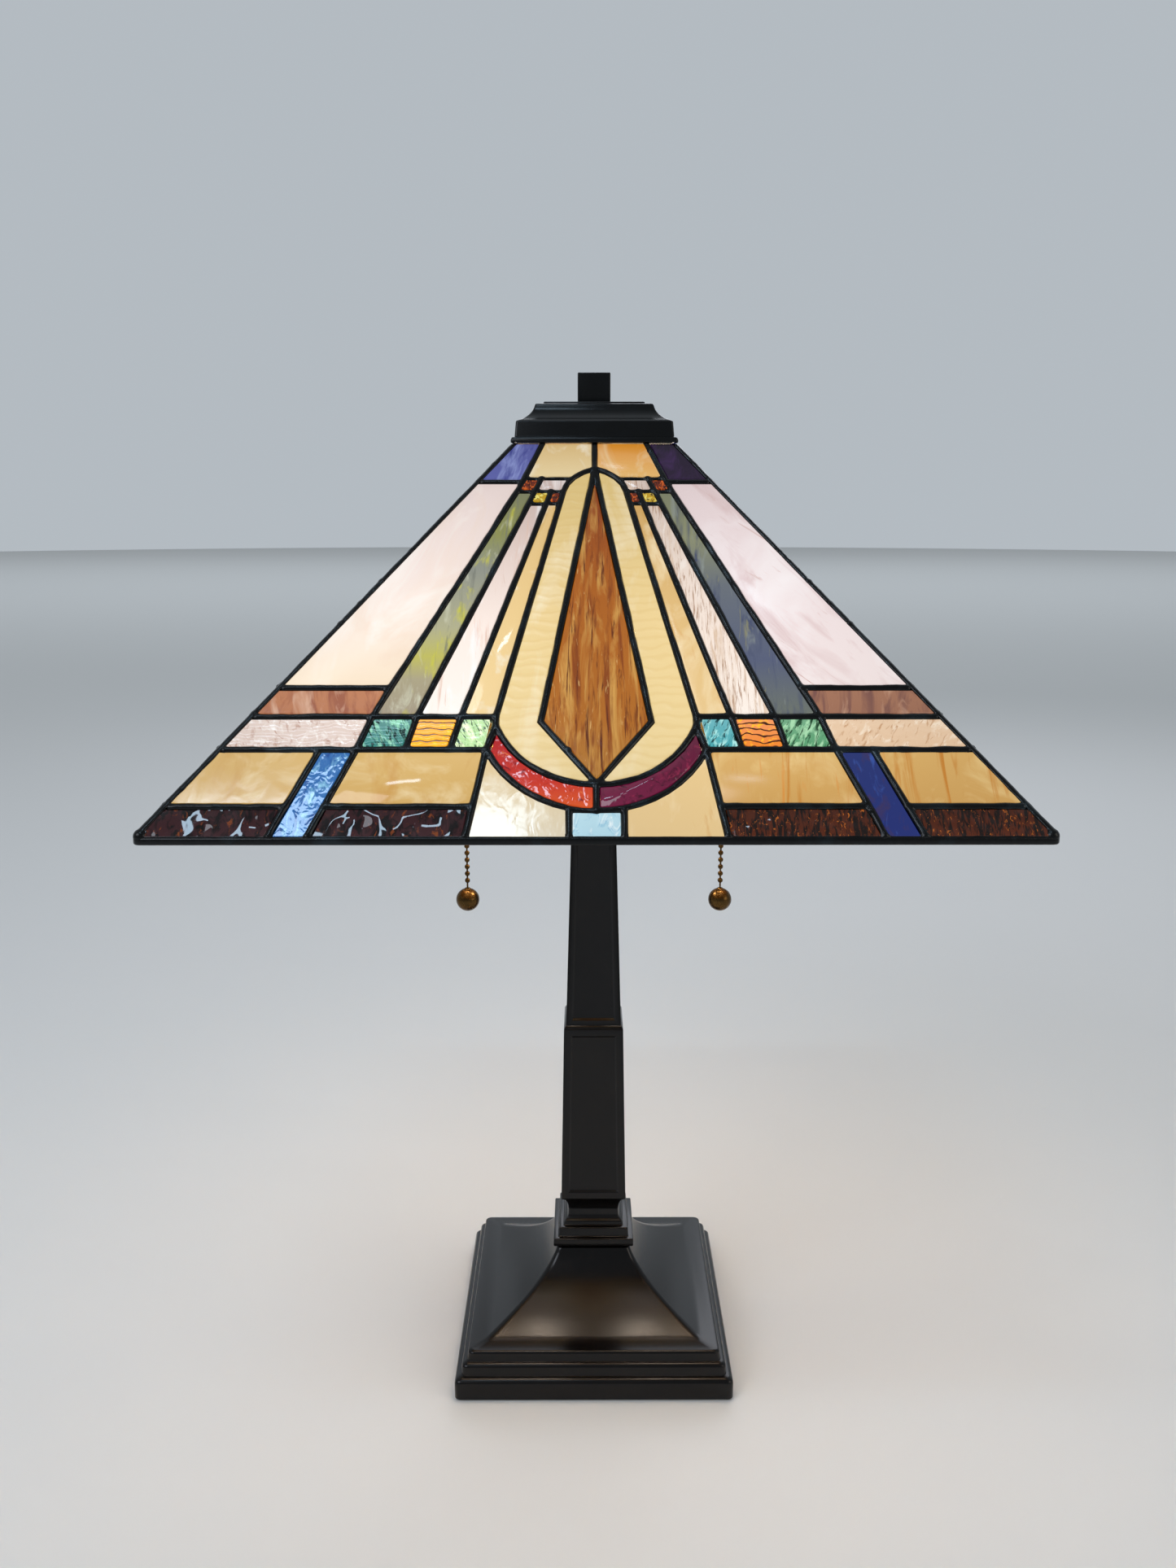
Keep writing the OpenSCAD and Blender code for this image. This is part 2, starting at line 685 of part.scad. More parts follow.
module shade_cap() {
    outside = concat(
        [[44.2, cap_z], [44.2, cap_z + 1.6], [43.6, cap_z + 3], [42.2, cap_z + 3.4], [41.5, cap_z + 11.2]],
        curve([41, cap_z + 11.7], [33, cap_z + 14.6], [31.7, cap_z + 20.2], steps = 6),
        [[31.3, cap_z + 20.9], [27.4, cap_z + 21.3], [27, cap_z + 22.3]]
    );
    inside = [
        [41, cap_z - 1], [41, cap_z + 1.8], [39.6, cap_z + 3.6], [39.2, cap_z + 9.8],
        [33.5, cap_z + 13.2], [29.6, cap_z + 18]
    ];
    color("#1d1f21") difference() {
        square_turned(outside);
        square_turned(inside);
        cylinder(r = shaft_r + 0.5, h = 700);
    }
}

module finial()
    color("#101113") difference() {
        square_turned([
            [finial_r - 0.5, finial_z], [finial_r, finial_z + 0.5],
            [finial_r, finial_z + finial_h - 0.5], [finial_r - 0.5, finial_z + finial_h]
        ]);
        translate([0, 0, finial_z - 1]) cylinder(r = shaft_r + shaft_fit, h = 9.6);
    }

// ---- The nodes ----

foot_casting();
ballast_plate();
ballast_screws();
felt_pad();
cord_bushing();
pipe_lock_washer();
pipe_nuts();
lamp_pipe();
post_collar();
lower_post();
upper_post();
post_top_plate();
cluster_body();
cluster_cover();
cluster_arms();
riser_rod();
riser_lock_nuts();
socket_caps();
socket_shells();
socket_liners();
switch_bodies();
screw_shells();
centre_contacts();
chain_bells();
left_bulb_glass();
left_bulb_base();
right_bulb_glass();
right_bulb_base();
left_pull_link();
left_bead_chain();
left_pull_ball();
right_pull_link();
right_bead_chain();
right_pull_ball();
solder_front();
solder_right();
solder_back();
solder_left();
hip_beads();
rim_band();
top_ring();
shade_spider();
shade_cap();
finial();
glass_lozenge();
glass_arch();
glass_caramel();
glass_corner_violet();
glass_pale_panel();
glass_red_jewel();
glass_gold_jewel();
glass_moss_strip();
glass_pink_opal();
glass_russet_bar();
glass_teal_tile();
glass_orange_tile();
glass_crescent();
glass_blue_strip();
glass_dark_bar();
glass_sky_tile();
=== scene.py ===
import math
import random

import bpy
from mathutils import Matrix, Vector, noise


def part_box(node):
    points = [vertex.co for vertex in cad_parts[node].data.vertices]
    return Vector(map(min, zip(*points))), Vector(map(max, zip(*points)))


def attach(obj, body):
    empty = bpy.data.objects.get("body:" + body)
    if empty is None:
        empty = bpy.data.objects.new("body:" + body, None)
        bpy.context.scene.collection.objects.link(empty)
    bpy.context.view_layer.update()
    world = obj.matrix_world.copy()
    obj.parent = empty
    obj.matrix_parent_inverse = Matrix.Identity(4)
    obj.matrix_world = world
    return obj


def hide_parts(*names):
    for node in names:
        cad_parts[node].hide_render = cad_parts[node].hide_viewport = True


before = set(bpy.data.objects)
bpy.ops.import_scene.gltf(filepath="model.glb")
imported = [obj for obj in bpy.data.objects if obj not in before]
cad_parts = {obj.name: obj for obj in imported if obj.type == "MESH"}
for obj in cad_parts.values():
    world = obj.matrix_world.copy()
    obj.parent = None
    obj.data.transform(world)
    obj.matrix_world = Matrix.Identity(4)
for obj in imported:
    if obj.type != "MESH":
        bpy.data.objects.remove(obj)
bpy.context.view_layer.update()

MM = 0.001
TOUCH = 1e-5                     # metres within which two points are taken for one
chance = random.Random(1902)

# ---- Sizes shared with the CAD part, in millimetres ----

SHADE_HALF = 203.0               # half the width over the rim
RIM_Z = 370.0                    # underside of the rim
SLOPE = math.radians(47.3)       # of each face, from level
FACE_FOOT = (-(SHADE_HALF - 1.4), RIM_Z + 2.6)    # y and z of the front face's lower edge
FACE_TOP = 235.0                 # length of a face up its slope
SOCKET_X = 73.0                  # middle of each socket and bulb, left and right
CHAIN_OUT = 29.0                 # pull chains hang this far in front of the sockets
FOOT_HALF = 82.0
COLLAR_Z = 62.9                  # foot ends, collar starts
NECK_Z = 86.0                    # collar ends, lower post starts
LEDGE_Z = 207.5                  # small ledge where the upper post starts
POST_TOP_Z = 331.0
BULB_Z = 408.0                   # mouth of each socket
BULB_R = 29.4
BULB_MIDDLE_Z = BULB_Z + 42      # centre of the bulb's globe
CAP_Z = FACE_FOOT[1] + FACE_TOP * math.sin(SLOPE) + 1.3
FINIAL_Z = CAP_Z + 22.6
CORNER_FILLET = 3.4              # at the rim's four corners, under their solder balls

# ---- Light through the glass, in metres on a face ----

BULB_UP = 0.095                  # height up the slope that is nearest to the bulbs
BULB_ASIDE = 0.067               # how far from the middle a bulb shows on the front and back faces
BULB_REACH = 0.15                # where the brighter patch has faded out
GLOW_NEAR, GLOW_FAR = 0.86, 0.68
UNLIT_SHARE = 0.3                # how much of a sheet's colour shows by the room's light


# ---- Tools of the shop ----

def only(obj):
    """Selects obj alone and makes it active."""
    bpy.ops.object.select_all(action="DESELECT")
    obj.select_set(True)
    bpy.context.view_layer.objects.active = obj


def edit(obj, mode="FACE"):
    """Opens obj with nothing selected in it."""
    only(obj)
    bpy.ops.object.mode_set(mode="EDIT")
    bpy.ops.mesh.select_mode(type=mode)
    bpy.ops.mesh.select_all(action="DESELECT")
    bpy.ops.object.mode_set(mode="OBJECT")


def open_whole(obj):
    """Opens obj with everything in it selected."""
    only(obj)
    bpy.ops.object.mode_set(mode="EDIT")
    bpy.ops.mesh.select_all(action="SELECT")


def pick_faces(obj, wanted):
    """Opens obj with the faces selected that wanted(centre, normal) names."""
    edit(obj, "FACE")
    for f in obj.data.polygons:
        f.select = bool(wanted(f.center, f.normal))
    bpy.ops.object.mode_set(mode="EDIT")


def pick_edges(obj, wanted):
    """Opens obj with the edges selected whose two ends wanted(a, b) names."""
    edit(obj, "EDGE")
    v = obj.data.vertices
    for e in obj.data.edges:
        e.select = bool(wanted(v[e.vertices[0]].co, v[e.vertices[1]].co))
    bpy.ops.object.mode_set(mode="EDIT")


def close(obj):
    """Welds the seams, turns the normals out and leaves edit mode."""
    if bpy.context.mode != "EDIT_MESH":
        only(obj)
        bpy.ops.object.mode_set(mode="EDIT")
    bpy.ops.mesh.select_all(action="SELECT")
    bpy.ops.mesh.remove_doubles(threshold=TOUCH)
    bpy.ops.mesh.normals_make_consistent(inside=False)
    bpy.ops.object.mode_set(mode="OBJECT")


def round_edges(obj, wanted, width, segments):
    """Rounds the edges that wanted(a, b) names to a width in millimetres."""
    pick_edges(obj, wanted)
    bpy.ops.mesh.bevel(offset=width * MM, segments=segments, affect="EDGES")
    close(obj)


def up_a_corner(a, b):
    """True of an edge that runs up one of a square part's four corners."""
    return (abs(abs(a.x) - abs(a.y)) < TOUCH and abs(abs(b.x) - abs(b.y)) < TOUCH
            and a.x * b.x > 0 and a.y * b.y > 0)


def thicken(obj, share):
    """Scales a flat piece through its thickness."""
    open_whole(obj)
    bpy.ops.transform.resize(value=(1, 1, share), center_override=(0, 0, 0))
    bpy.ops.object.mode_set(mode="OBJECT")


def modify(obj, kind, **settings):
    """Applies one modifier at once."""
    only(obj)
    m = obj.modifiers.new(kind.title(), kind)
    for k, v in settings.items():
        setattr(m, k, v)
    bpy.ops.object.modifier_apply(modifier=m.name)


def smooth(obj):
    """Smooth shading, except across the sharp edges."""
    only(obj)
    bpy.ops.object.shade_smooth_by_angle(angle=math.radians(40))


def ease(obj, width, segments=3, angle=28):
    """Rounds the sharp edges, as a cast and painted part has them, and smooths the rest."""
    modify(obj, "BEVEL", width=width * MM, segments=segments, limit_method="ANGLE",
           angle_limit=math.radians(angle), use_clamp_overlap=True)
    smooth(obj)


def drawn_up(name, profile, sides=4, at=(0, 0)):
    """A solid drawn up through a list of (half width or radius, height), ring by ring."""
    turn = math.pi / 4 if sides == 4 else 0
    reach = math.sqrt(2) if sides == 4 else 1
    r, z = profile[0]
    bpy.ops.object.select_all(action="DESELECT")
    bpy.ops.mesh.primitive_circle_add(vertices=sides, radius=r * reach * MM, fill_type="NGON",
                                      location=(0, 0, z * MM), rotation=(0, 0, turn))
    obj = bpy.context.object
    obj.name = obj.data.name = name
    bpy.ops.object.transform_apply(location=True, rotation=True, scale=True)
    bpy.ops.object.mode_set(mode="EDIT")
    bpy.ops.mesh.select_mode(type="FACE")
    bpy.ops.mesh.select_all(action="SELECT")
    for wide, high in profile[1:]:
        bpy.ops.mesh.extrude_region_move(TRANSFORM_OT_translate={"value": (0, 0, (high - z) * MM)})
        k = wide / r
        bpy.ops.transform.resize(value=(k, k, 1), center_override=(0, 0, high * MM))
        r, z = wide, high
    close(obj)
    if at != (0, 0):
        obj.data.transform(Matrix.Translation((at[0] * MM, at[1] * MM, 0)))
    return obj


def curve(a, b, c, steps=8):
    """Points of a quadratic curve from a to c, drawn towards b."""
    out = []
    for i in range(steps + 1):
        k = i / steps
        out.append(tuple(p * (1 - k) ** 2 + q * 2 * k * (1 - k) + s * k * k for p, q,
                         s in zip(a, b, c)))
    return out


def copy_of(obj, name, matrix):
    """A copy with its own mesh, set in place."""
    new = obj.copy()
    new.data = obj.data.copy()
    new.name = new.data.name = name
    bpy.context.scene.collection.objects.link(new)
    new.data.transform(matrix)
    return new


def join(name, *objs):
    """Makes one object of several, in the first one's place."""
    only(objs[0])
    for o in objs:
        o.select_set(True)
    bpy.ops.object.join()
    objs[0].name = objs[0].data.name = name
    return objs[0]


def finish_piece(obj, body, slot, material, *nodes):
    """Gives a piece its finish, its place in the object and the CAD nodes that it stands for."""
    obj.data.materials.clear()
    obj.data.materials.append(material)
    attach(obj, body)
    if nodes:
        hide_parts(*nodes)
    return obj


# ---- Materials ----

def tint(colour):
    """An sRGB hex colour as linear red, green, blue and alpha."""
    c = [int(colour[i:i + 2], 16) / 255 for i in (1, 3, 5)]
    return tuple(v / 12.92 if v <= 0.04045 else ((v + 0.055) / 1.055) ** 2.4 for v in c) + (1.0,)


def add(tree, kind, inputs=None, **settings):
    """Adds a node with its settings. inputs gives each socket a value or another node's output."""
    n = tree.nodes.new(kind)
    for k, v in settings.items():
        if k == "stops":
            ramp = n.color_ramp
            while len(ramp.elements) < len(v):
                ramp.elements.new(0.5)
            for e, (at, colour) in zip(ramp.elements, v):
                e.position = at
                e.color = tint(colour) if isinstance(colour, str) else (colour, colour, colour, 1)
        else:
            setattr(n, k, v)
    for k, v in (inputs or {}).items():
        if isinstance(v, bpy.types.NodeSocket):
            tree.links.new(v, n.inputs[k])
        else:
            n.inputs[k].default_value = v
    return n


def blank(name):
    """A material with an empty node tree, and that tree."""
    m = bpy.data.materials.new(name)
    m.use_nodes = True
    m.node_tree.nodes.clear()
    return m, m.node_tree


def mix(t, share, a, b):
    """The colour output of a mix of two colours."""
    n = add(t, "ShaderNodeMix", data_type="RGBA")
    for socket, v in ((0, share), (6, a), (7, b)):
        if isinstance(v, bpy.types.NodeSocket):
            t.links.new(v, n.inputs[socket])
        else:
            n.inputs[socket].default_value = tint(v) if isinstance(v, str) else v
    return n.outputs[2]


def surface(t, inputs):
    """Ends a material with one principled shader."""
    shader = add(t, "ShaderNodeBsdfPrincipled", inputs)
    add(t, "ShaderNodeOutputMaterial", {"Surface": shader.outputs[0]})


def metal_finish(name, base, worn, grain_mm, rough, metallic=1.0, relief=0.15, wear=0.45, coat=0.0,
                 shine=0.5):
    """A metal or painted metal: cloudy patches between two colours, and a fine uneven skin. wear is
    the level of the noise above which the worn colour starts to show."""
    m, t = blank(name)
    place = add(t, "ShaderNodeTexCoord").outputs["Object"]
    cloud = add(t, "ShaderNodeTexNoise", {"Vector": place, "Scale": 1000 / (grain_mm * 9),
                                          "Detail": 4.0, "Roughness": 0.6})
    grain = add(t, "ShaderNodeTexNoise", {"Vector": place, "Scale": 1000 / grain_mm,
                                          "Detail": 3.0, "Roughness": 0.55})
    share = add(t, "ShaderNodeMapRange", {0: cloud.outputs["Fac"], 1: wear, 2: wear + 0.3})
    colour = mix(t, share.outputs[0], base, worn)
    dull = add(t, "ShaderNodeMapRange", {0: grain.outputs["Fac"], 1: 0.3, 2: 0.7,
                                         3: rough - 0.02, 4: rough + 0.03})
    bump = add(t, "ShaderNodeBump",
               {"Height": grain.outputs["Fac"], "Strength": relief, "Distance": 0.0004})
    surface(t, {"Base Color": colour, "Metallic": metallic, "Roughness": dull.outputs[0],
                "Normal": bump.outputs[0], "Coat Weight": coat, "Coat Roughness": 0.25,
                "Specular IOR Level": shine})
    return m


# Baked dark bronze paint on cast zinc: nearly black brown, satin, with soft broad highlights
BRONZE_PAINT = metal_finish("dark bronze paint", "#070505", "#0e0b0a", 1.6, 0.20, metallic=0.0,
                            relief=0.012, shine=0.3)
# The same paint on spun brass: blacker and cooler, a little smoother
CAP_PAINT = metal_finish("black bronze paint", "#030506", "#080c0f", 1.4, 0.22, metallic=0.0,
                         relief=0.012, shine=0.3)
# Tin solder under black patina: a dark, lumpy metal with pewter showing on the high spots
PATINA_SOLDER = metal_finish("black patina solder", "#060809", "#2c3d44", 2.6, 0.24, metallic=0.7,
                             relief=0.5, wear=0.55, coat=0.25)
# Lacquered antique brass: brown in patches, bright where it is handled
ANTIQUE_BRASS = metal_finish("antique brass", "#604726", "#3f301b", 0.9, 0.27, relief=0.04, wear=0.5)
# Plated steel parts under the shade: plain yellow brass, slightly brushed
LAMP_BRASS = metal_finish("brass plate", "#b08d4a", "#8a6a33", 1.1, 0.33, relief=0.08)
ZINC_PLATE = metal_finish("zinc plated steel", "#a3a6a8", "#7d8186", 1.0, 0.36, relief=0.08)
GREY_IRON = metal_finish("grey cast iron", "#4b4d50", "#35373a", 1.3, 0.62, metallic=0.7, relief=0.6)
BULB_CAP = metal_finish("aluminium bulb cap", "#c9cbce", "#a7a9ac", 1.2, 0.28, relief=0.05)
BLACK_PHENOLIC = metal_finish("moulded black phenolic", "#151313", "#1f1c1a", 0.8, 0.42, metallic=0.0,
                              relief=0.06)
FIBRE_SLEEVE = metal_finish("vulcanised fibre sleeve", "#3a3028", "#52453a", 0.7, 0.75, metallic=0.0,
                            relief=0.25)


def felt_finish():
    """Pressed wool felt: matt, with a fuzz of short fibres."""
    m, t = blank("pressed wool felt")
    place = add(t, "ShaderNodeTexCoord").outputs["Object"]
    fuzz = add(t, "ShaderNodeTexNoise",
               {"Vector": place, "Scale": 1000 / 0.9, "Detail": 5.0, "Distortion": 1.5})
    colour = add(t, "ShaderNodeValToRGB", {"Fac": fuzz.outputs["Fac"]},
                 stops=[(0.3, "#16261c"), (0.7, "#274433")])
    bump = add(t, "ShaderNodeBump",
               {"Height": fuzz.outputs["Fac"], "Strength": 0.8, "Distance": 0.0006})
    surface(t, {"Base Color": colour.outputs[0], "Roughness": 0.95, "Sheen Weight": 0.4,
                "Normal": bump.outputs[0]})
    return m


def bulb_finish():
    """Frosted bulb glass, lit: a warm white that whitens with height, in metres, to the filament."""
    m, t = blank("frosted bulb glass")
    place = add(t, "ShaderNodeTexCoord").outputs["Object"]
    away = add(t, "ShaderNodeSeparateXYZ", {0: place})
    heat = add(t, "ShaderNodeMapRange", {0: away.outputs["Z"], 1: 0.405, 2: 0.44, 3: 0.12, 4: 1.0})
    frost = add(t, "ShaderNodeTexNoise", {"Vector": place, "Scale": 1000 / 0.8, "Detail": 2.0})
    glow = mix(t, heat.outputs[0], "#ffd2a0", "#fff0de")
    bump = add(t, "ShaderNodeBump",
               {"Height": frost.outputs["Fac"], "Strength": 0.1, "Distance": 0.0002})
    surface(t, {"Base Color": tint("#fff6e8"), "Roughness": 0.4, "Emission Color": glow,
                "Emission Strength": 45.0, "Normal": bump.outputs[0]})
    return m


# ---- The stand ----

def stand():
    """The ogee foot, the stepped collar and the two lengths of tapered post."""
    foot = drawn_up("foot", [(81.6, 0.4), (FOOT_HALF, 0.9)]
                    + curve((82, 9.5), (82, 13.5), (78, 13.5), 6)
                    + curve((78, 17.8), (78, 21), (74.8, 21), 5)
                    + curve((74.4, 25.2), (74.4, 27), (72.4, 27.1), 4)
                    + curve((65, 27.4), (29, 44), (22.6, COLLAR_Z), 20))
    round_edges(foot, up_a_corner, 2.8, 4)
    ease(foot, 0.45, 2)
    finish_piece(foot, "stand", "bronze", BRONZE_PAINT, "foot_casting")

    collar = drawn_up("post_collar_casting", [
        (22, COLLAR_Z), (22, 65), (24.7, 65), (24.7, 70), (21.4, 70), (21.4, 75.8), (18.1, 75.8),
                                              (18.1, 78.4)]
        + curve((17.4, 78.8), (15.7, 80), (15.5, 82.6), 4) + [(15.4, NECK_Z)])
    ease(collar, 0.8)
    finish_piece(collar, "stand", "bronze", BRONZE_PAINT, "post_collar")

    flare = curve((15.4, NECK_Z), (15.8, 92), (19.2, 94), 6)
    finish_piece(tapered_post("lower_post_casting", flare + [(19.8, 94.5), (17.85, 205.7)], 4.2),
                 "stand", "bronze", BRONZE_PAINT, "lower_post")
    finish_piece(tapered_post("upper_post_casting",
                              [(17.85, 205.75), (16.8, LEDGE_Z), (16.5, LEDGE_Z + 0.1),
                                                    (13.1, POST_TOP_Z)], 3.2),
                 "stand", "bronze", BRONZE_PAINT, "upper_post")


def tapered_post(name, profile, border):
    """A square post whose long faces each have a sunk panel with an eased edge."""
    post = drawn_up(name, profile)
    long_face = lambda c, n: abs(n.z) < 0.1 and min(abs(c.x), abs(c.y)) < 1e-4 and (
        profile[-2][1] + 10 < c.z * 1000 < profile[-1][1] - 10)
    pick_faces(post, long_face)
    bpy.ops.mesh.inset(thickness=border * MM, use_individual=True)
    bpy.ops.mesh.inset(thickness=1.2 * MM, depth=-1.4 * MM, use_individual=True)
    close(post)
    ease(post, 0.4)
    return post


# ---- The cap and finial ----

def crown():
    """The stepped cap over the shade's top opening, and the square finial on it."""
    cap = drawn_up("shade_cap_cover", [
        (43.4, CAP_Z), (44.2, CAP_Z + 0.4), (44.2, CAP_Z + 1.6), (43.6, CAP_Z + 3), (42.2, CAP_Z + 3.4),
        (41.5, CAP_Z + 11.2)]
        + curve((41, CAP_Z + 11.7), (33, CAP_Z + 14.6), (31.7, CAP_Z + 20.2), 8)
        + [(31.3, CAP_Z + 20.9), (27.4, CAP_Z + 21.3), (27, CAP_Z + 22.3)])
    round_edges(cap, up_a_corner, 0.9, 3)
    ease(cap, 0.4, 2)
    finish_piece(cap, "shade", "cap_black", CAP_PAINT, "shade_cap")

    knob = drawn_up("square_finial", [(9, FINIAL_Z), (9, FINIAL_Z + 16.3)])
    ease(knob, 0.6)
    finish_piece(knob, "finial", "cap_black", CAP_PAINT, "finial")


# ---- The solder lines of one face, in millimetres: across from the centre, up the slope ----

ARCH_HEAD, ARCH_DRAW = (0, 217.5), (14, 212.5)    # top of the arch, and where its curve is drawn to
MOON_FOOT = 13.5                                  # lowest point of the crescent
LOZENGE_FOOT = 27.5
ROWS = {"rim": -0.1, "dark": 15.8, "tile": 45.3, "strip": 63.3, "bar": 79.3, "jewel_low": 193.5,
        "jewel_mid": 201.8, "panel": 208.3, "jewel_top": 210.5, "top": FACE_TOP + 1.0}


def on_line(a, b, y):
    """How far across the line through a and b is at height y."""
    return a[0] + (b[0] - a[0]) * (y - a[1]) / (b[1] - a[1])


def hip_at(y, back=2.0):
    """How far across a face's side is at height y, measured to a line that is back inside it."""
    c = math.cos(SLOPE)
    return -FACE_FOOT[0] - y * c - back * math.sqrt(1 + c * c)


def arc(r, low, start, end, steps):
    """Points of a circle of radius r whose lowest point is low, between two angles from there."""
    out = []
    for i in range(steps + 1):
        a = math.radians(start + (end - start) * i / steps)
        out.append((r * math.sin(a), low + r - r * math.cos(a)))
    return out


def face_lines():
    """The solder lines of the right half of a face as (half width, points), and the middle ones."""
    R = ROWS
    foot_of = lambda a, b, y: (on_line(a, b, y), y)
    arch_leg = [(16.2, R["jewel_mid"]), (46.2, R["strip"])]
    a_leg = [(22.5, R["jewel_mid"]), (62.2, R["strip"])]
    b_leg = [(30.7, R["jewel_mid"]), (82.6, R["strip"])]
    c_leg = [(37, R["panel"]), (103.2, R["strip"])]
    inner_leg = [(108.8, R["tile"]), (126.8, R["rim"])]
    outer_leg = [(125.6, R["tile"]), (144.1, R["rim"])]
    moon_leg = [(50, R["tile"]), (57.7, R["rim"])]
    arch_top = curve(ARCH_HEAD, ARCH_DRAW, arch_leg[0], 10)
    shoulder = curve(ARCH_HEAD, ARCH_DRAW, arch_leg[0], 1000)[536]    # the jewels' top line ends here
    inner = arc(49.5, 27, 0, math.degrees(math.asin(46 / 49.5)), 9)
    across = lambda row, start: [(start, R[row]), (hip_at(R[row]), R[row])]
    half = [
        (1.95, a_leg + [(66.6, R["tile"])]),
        (1.95, [foot_of(*b_leg, R["jewel_top"])] + b_leg + [(86.9, R["tile"])]),
        (2.0, [(27, R["top"]), (36.4, R["jewel_top"])] + c_leg + inner_leg),
        (2.0, outer_leg),
        (1.95, arch_top + [arch_leg[1], inner[-1]] + moon_leg),
        (1.9, inner),
        (1.95, arc(55.1, MOON_FOOT, 0, 63.9, 10)),
        (1.9, [(0, LOZENGE_FOOT), (25.5, 60.5), ARCH_HEAD]),
        (1.9, across("panel", 37)),
        (1.5, [shoulder, (36.4, R["jewel_top"])]),
        (1.5, [arch_leg[0], foot_of(*c_leg, R["jewel_mid"])]),
        (1.5, [foot_of(*arch_leg, R["jewel_low"]), foot_of(*b_leg, R["jewel_low"])]),
        (2.0, across("bar", foot_of(*c_leg, R["bar"])[0])),
        (1.95, across("strip", 46.2)),
        (2.1, across("tile", 50)),
        (2.0, [foot_of(*moon_leg, R["dark"]), foot_of(*inner_leg, R["dark"])]),
        (2.0, across("dark", foot_of(*outer_leg, R["dark"])[0])),
        (1.8, [(12.2, R["rim"]), (12.2, 14.4)]),
    ]
    middle = [(1.9, [ARCH_HEAD, (0, R["top"])]), (1.9, [(0, LOZENGE_FOOT), (0, MOON_FOOT)]),
              (1.2, [(-hip_at(0.6), 0.6), (hip_at(0.6), 0.6)])]
    return half, middle


def uneven(p, seed, depth, pitch):
    """A smooth random change from -depth to depth, with a wave every pitch millimetres."""
    return depth * noise.noise(Vector((p[0] / pitch, p[1] / pitch, p[2] / pitch + seed)))


def bead_run(name, runs, step, wander, swell):
    """Round rods along lists of (half width, points), in millimetres, as a hand runs solder."""
    data = bpy.data.curves.new(name, "CURVE")
    data.dimensions, data.bevel_depth, data.bevel_resolution, data.use_fill_caps = "3D", MM, 3, True
    for n, (half_width, points) in enumerate(runs):
        line = []
        for a, b in zip(points, points[1:]):
            a, b = Vector(a).to_3d(), Vector(b).to_3d()
            cuts = max(1, round((b - a).length / step))
            line += [a.lerp(b, i / cuts) for i in range(cuts)]
        line.append(Vector(points[-1]).to_3d())
        spline = data.splines.new("POLY")
        spline.points.add(len(line) - 1)
        for p, q in zip(spline.points, line):
            aside = Vector((uneven(q, n + 0.3, wander, 23), uneven(q, n + 7.7, wander, 23), 0))
            p.co = tuple((q + aside) * MM) + (1,)
            w = half_width if isinstance(half_width, float) else half_width(q)
            p.radius = w * (1 + uneven(q, 3.1, swell, 9) + uneven(q, 5.9, swell * 0.5, 3.5))
    obj = bpy.data.objects.new(name, data)
    bpy.context.scene.collection.objects.link(obj)
    only(obj)
    bpy.ops.object.convert(target="MESH")
    return bpy.context.object


def blob(x, y, z, r, flat=1.0):
    """A lump of solder, flattened along z."""
    bpy.ops.object.select_all(action="DESELECT")
    bpy.ops.mesh.primitive_ico_sphere_add(subdivisions=3, radius=r * MM,
                                          location=(x * MM, y * MM, z * MM))
    lump = bpy.context.object
    bpy.ops.object.transform_apply(location=True, rotation=True, scale=True)
    bpy.ops.object.mode_set(mode="EDIT")
    bpy.ops.transform.resize(value=(1, 1, flat), center_override=(x * MM, y * MM, z * MM))
    bpy.ops.object.mode_set(mode="OBJECT")
    return lump


def fuse(obj, voxel, keep):
    """Melts the runs and lumps of obj into one skin."""
    modify(obj, "REMESH", mode="VOXEL", voxel_size=voxel * MM, use_smooth_shade=True)
    modify(obj, "SMOOTH", factor=0.5, iterations=3)
    modify(obj, "DECIMATE", ratio=keep)


def trim(obj):
    """Files the solder flush with the outside of the rim."""
    limit = (SHADE_HALF - 0.05) * MM
    for v in obj.data.vertices:
        v.co.x, v.co.y = max(-limit, min(limit, v.co.x)), max(-limit, min(limit, v.co.y))


def face_place(k):
    """From a face lying flat, across and up, to its place in the shade; k counts quarter turns."""
    return (Matrix.Rotation(k * math.pi / 2, 4, "Z")
            @ Matrix.Translation((0, FACE_FOOT[0] * MM, FACE_FOOT[1] * MM))
            @ Matrix.Rotation(SLOPE, 4, "X"))


